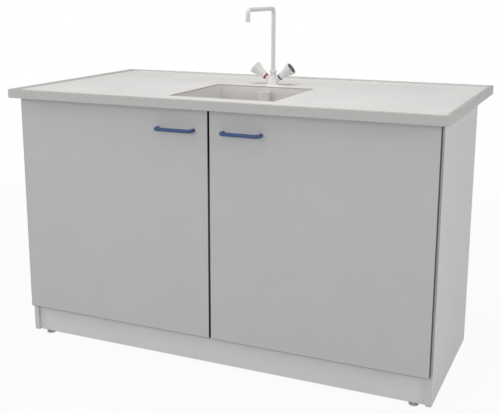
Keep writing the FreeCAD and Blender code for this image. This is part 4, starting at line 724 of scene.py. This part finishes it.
def floor_finish():
    """Pale floor: the camera and reflections see mostly plain white, with the object's shadow."""
    finish = Finish("floor", Roughness=0.9, Base_Color=(FLOOR_TONE, FLOOR_TONE, FLOOR_TONE, 1))
    glow = finish.node("Emission", None, {"Color": WHITE, "Strength": 1.0})
    across, back = finish.part(finish.place, 0), finish.part(finish.place, 1)
    away = (across * across + back * back).above(*SHADE_FADE)
    share = away * FLOOR_SHADE + (1 - FLOOR_SHADE)
    white = finish.seen_by("Camera", "Glossy", "Transmission") * share
    lit = Value(finish, finish.shader.outputs[0])
    finish.show("Material Output", finish.node("MixShader", None, {0: white, 1: lit, 2: glow}))
    return finish.material


def lay_floor():
    """Wide square under the object, which belongs to the studio and not to the part."""
    mesh = bpy.data.meshes.new("floor")
    corners = [(-1, -1), (1, -1), (1, 1), (-1, 1)]
    points = [(x * FLOOR_HALF, y * FLOOR_HALF, 0.0) for x, y in corners]
    mesh.from_pydata(points, [], [(0, 1, 2, 3)])
    floor = bpy.data.objects.new("floor", mesh)
    bpy.context.scene.collection.objects.link(floor)
    floor.data.materials.append(floor_finish())


def studio_world():
    """World that lights the object faintly and shows plain white to the camera."""
    world = bpy.data.worlds.new("studio")
    world.use_nodes = True
    nodes = NodeTree(world.node_tree)
    nodes.tree.nodes.remove(nodes.tree.nodes["Background"])
    faint = nodes.node("Background", None, {"Color": WHITE, "Strength": AMBIENT})
    plain = nodes.node("Background", None, {"Color": WHITE, "Strength": 1.0})
    seen = nodes.seen_by("Camera", "Transmission")
    nodes.show("World Output", nodes.node("MixShader", None, {0: seen, 1: faint, 2: plain}))
    bpy.context.scene.world = world


def softbox(name, place, aim, size, power, mirrored=True):
    """Rectangular lamp of a power in watts; mirrored says whether reflections show it."""
    data = bpy.data.lights.new(name, "AREA")
    data.shape = "RECTANGLE"
    data.size, data.size_y = size
    data.energy = power
    lamp = bpy.data.objects.new(name, data)
    bpy.context.scene.collection.objects.link(lamp)
    lamp.location = place
    lamp.rotation_euler = (Vector(aim) - Vector(place)).to_track_quat("-Z", "Y").to_euler()
    lamp.visible_glossy = mirrored


lay_floor()
studio_world()
softbox("overhead", (0.0, 0.0, 3.4), (0, 0, 0.9), (2.6, 2.2), 55)
softbox("key", (-0.3, -1.6, 3.0), (0, 0.1, 0.9), (1.0, 1.0), 8)
softbox("front_fill", (-1.6, -4.0, 2.2), OBJECT_MIDDLE, (2.4, 2.0), 36)
softbox("right_front_fill", (1.8, -4.2, 2.0), OBJECT_MIDDLE, (2.4, 2.0), 18)
softbox("low_front", (0.6, -4.4, 1.1), (0, 0, 0.45), (3.0, 1.6), 15)
softbox("right_fill", (4.0, -1.2, 2.2), OBJECT_MIDDLE, (2.0, 2.0), 60)
softbox("left_fill", (-4.0, -1.0, 2.0), OBJECT_MIDDLE, (2.0, 2.0), 66)
softbox("back_fill", (0.0, 4.4, 0.8), OBJECT_MIDDLE, (3.0, 1.4), 95, mirrored=False)

bpy.context.scene.view_settings.view_transform = "Standard"
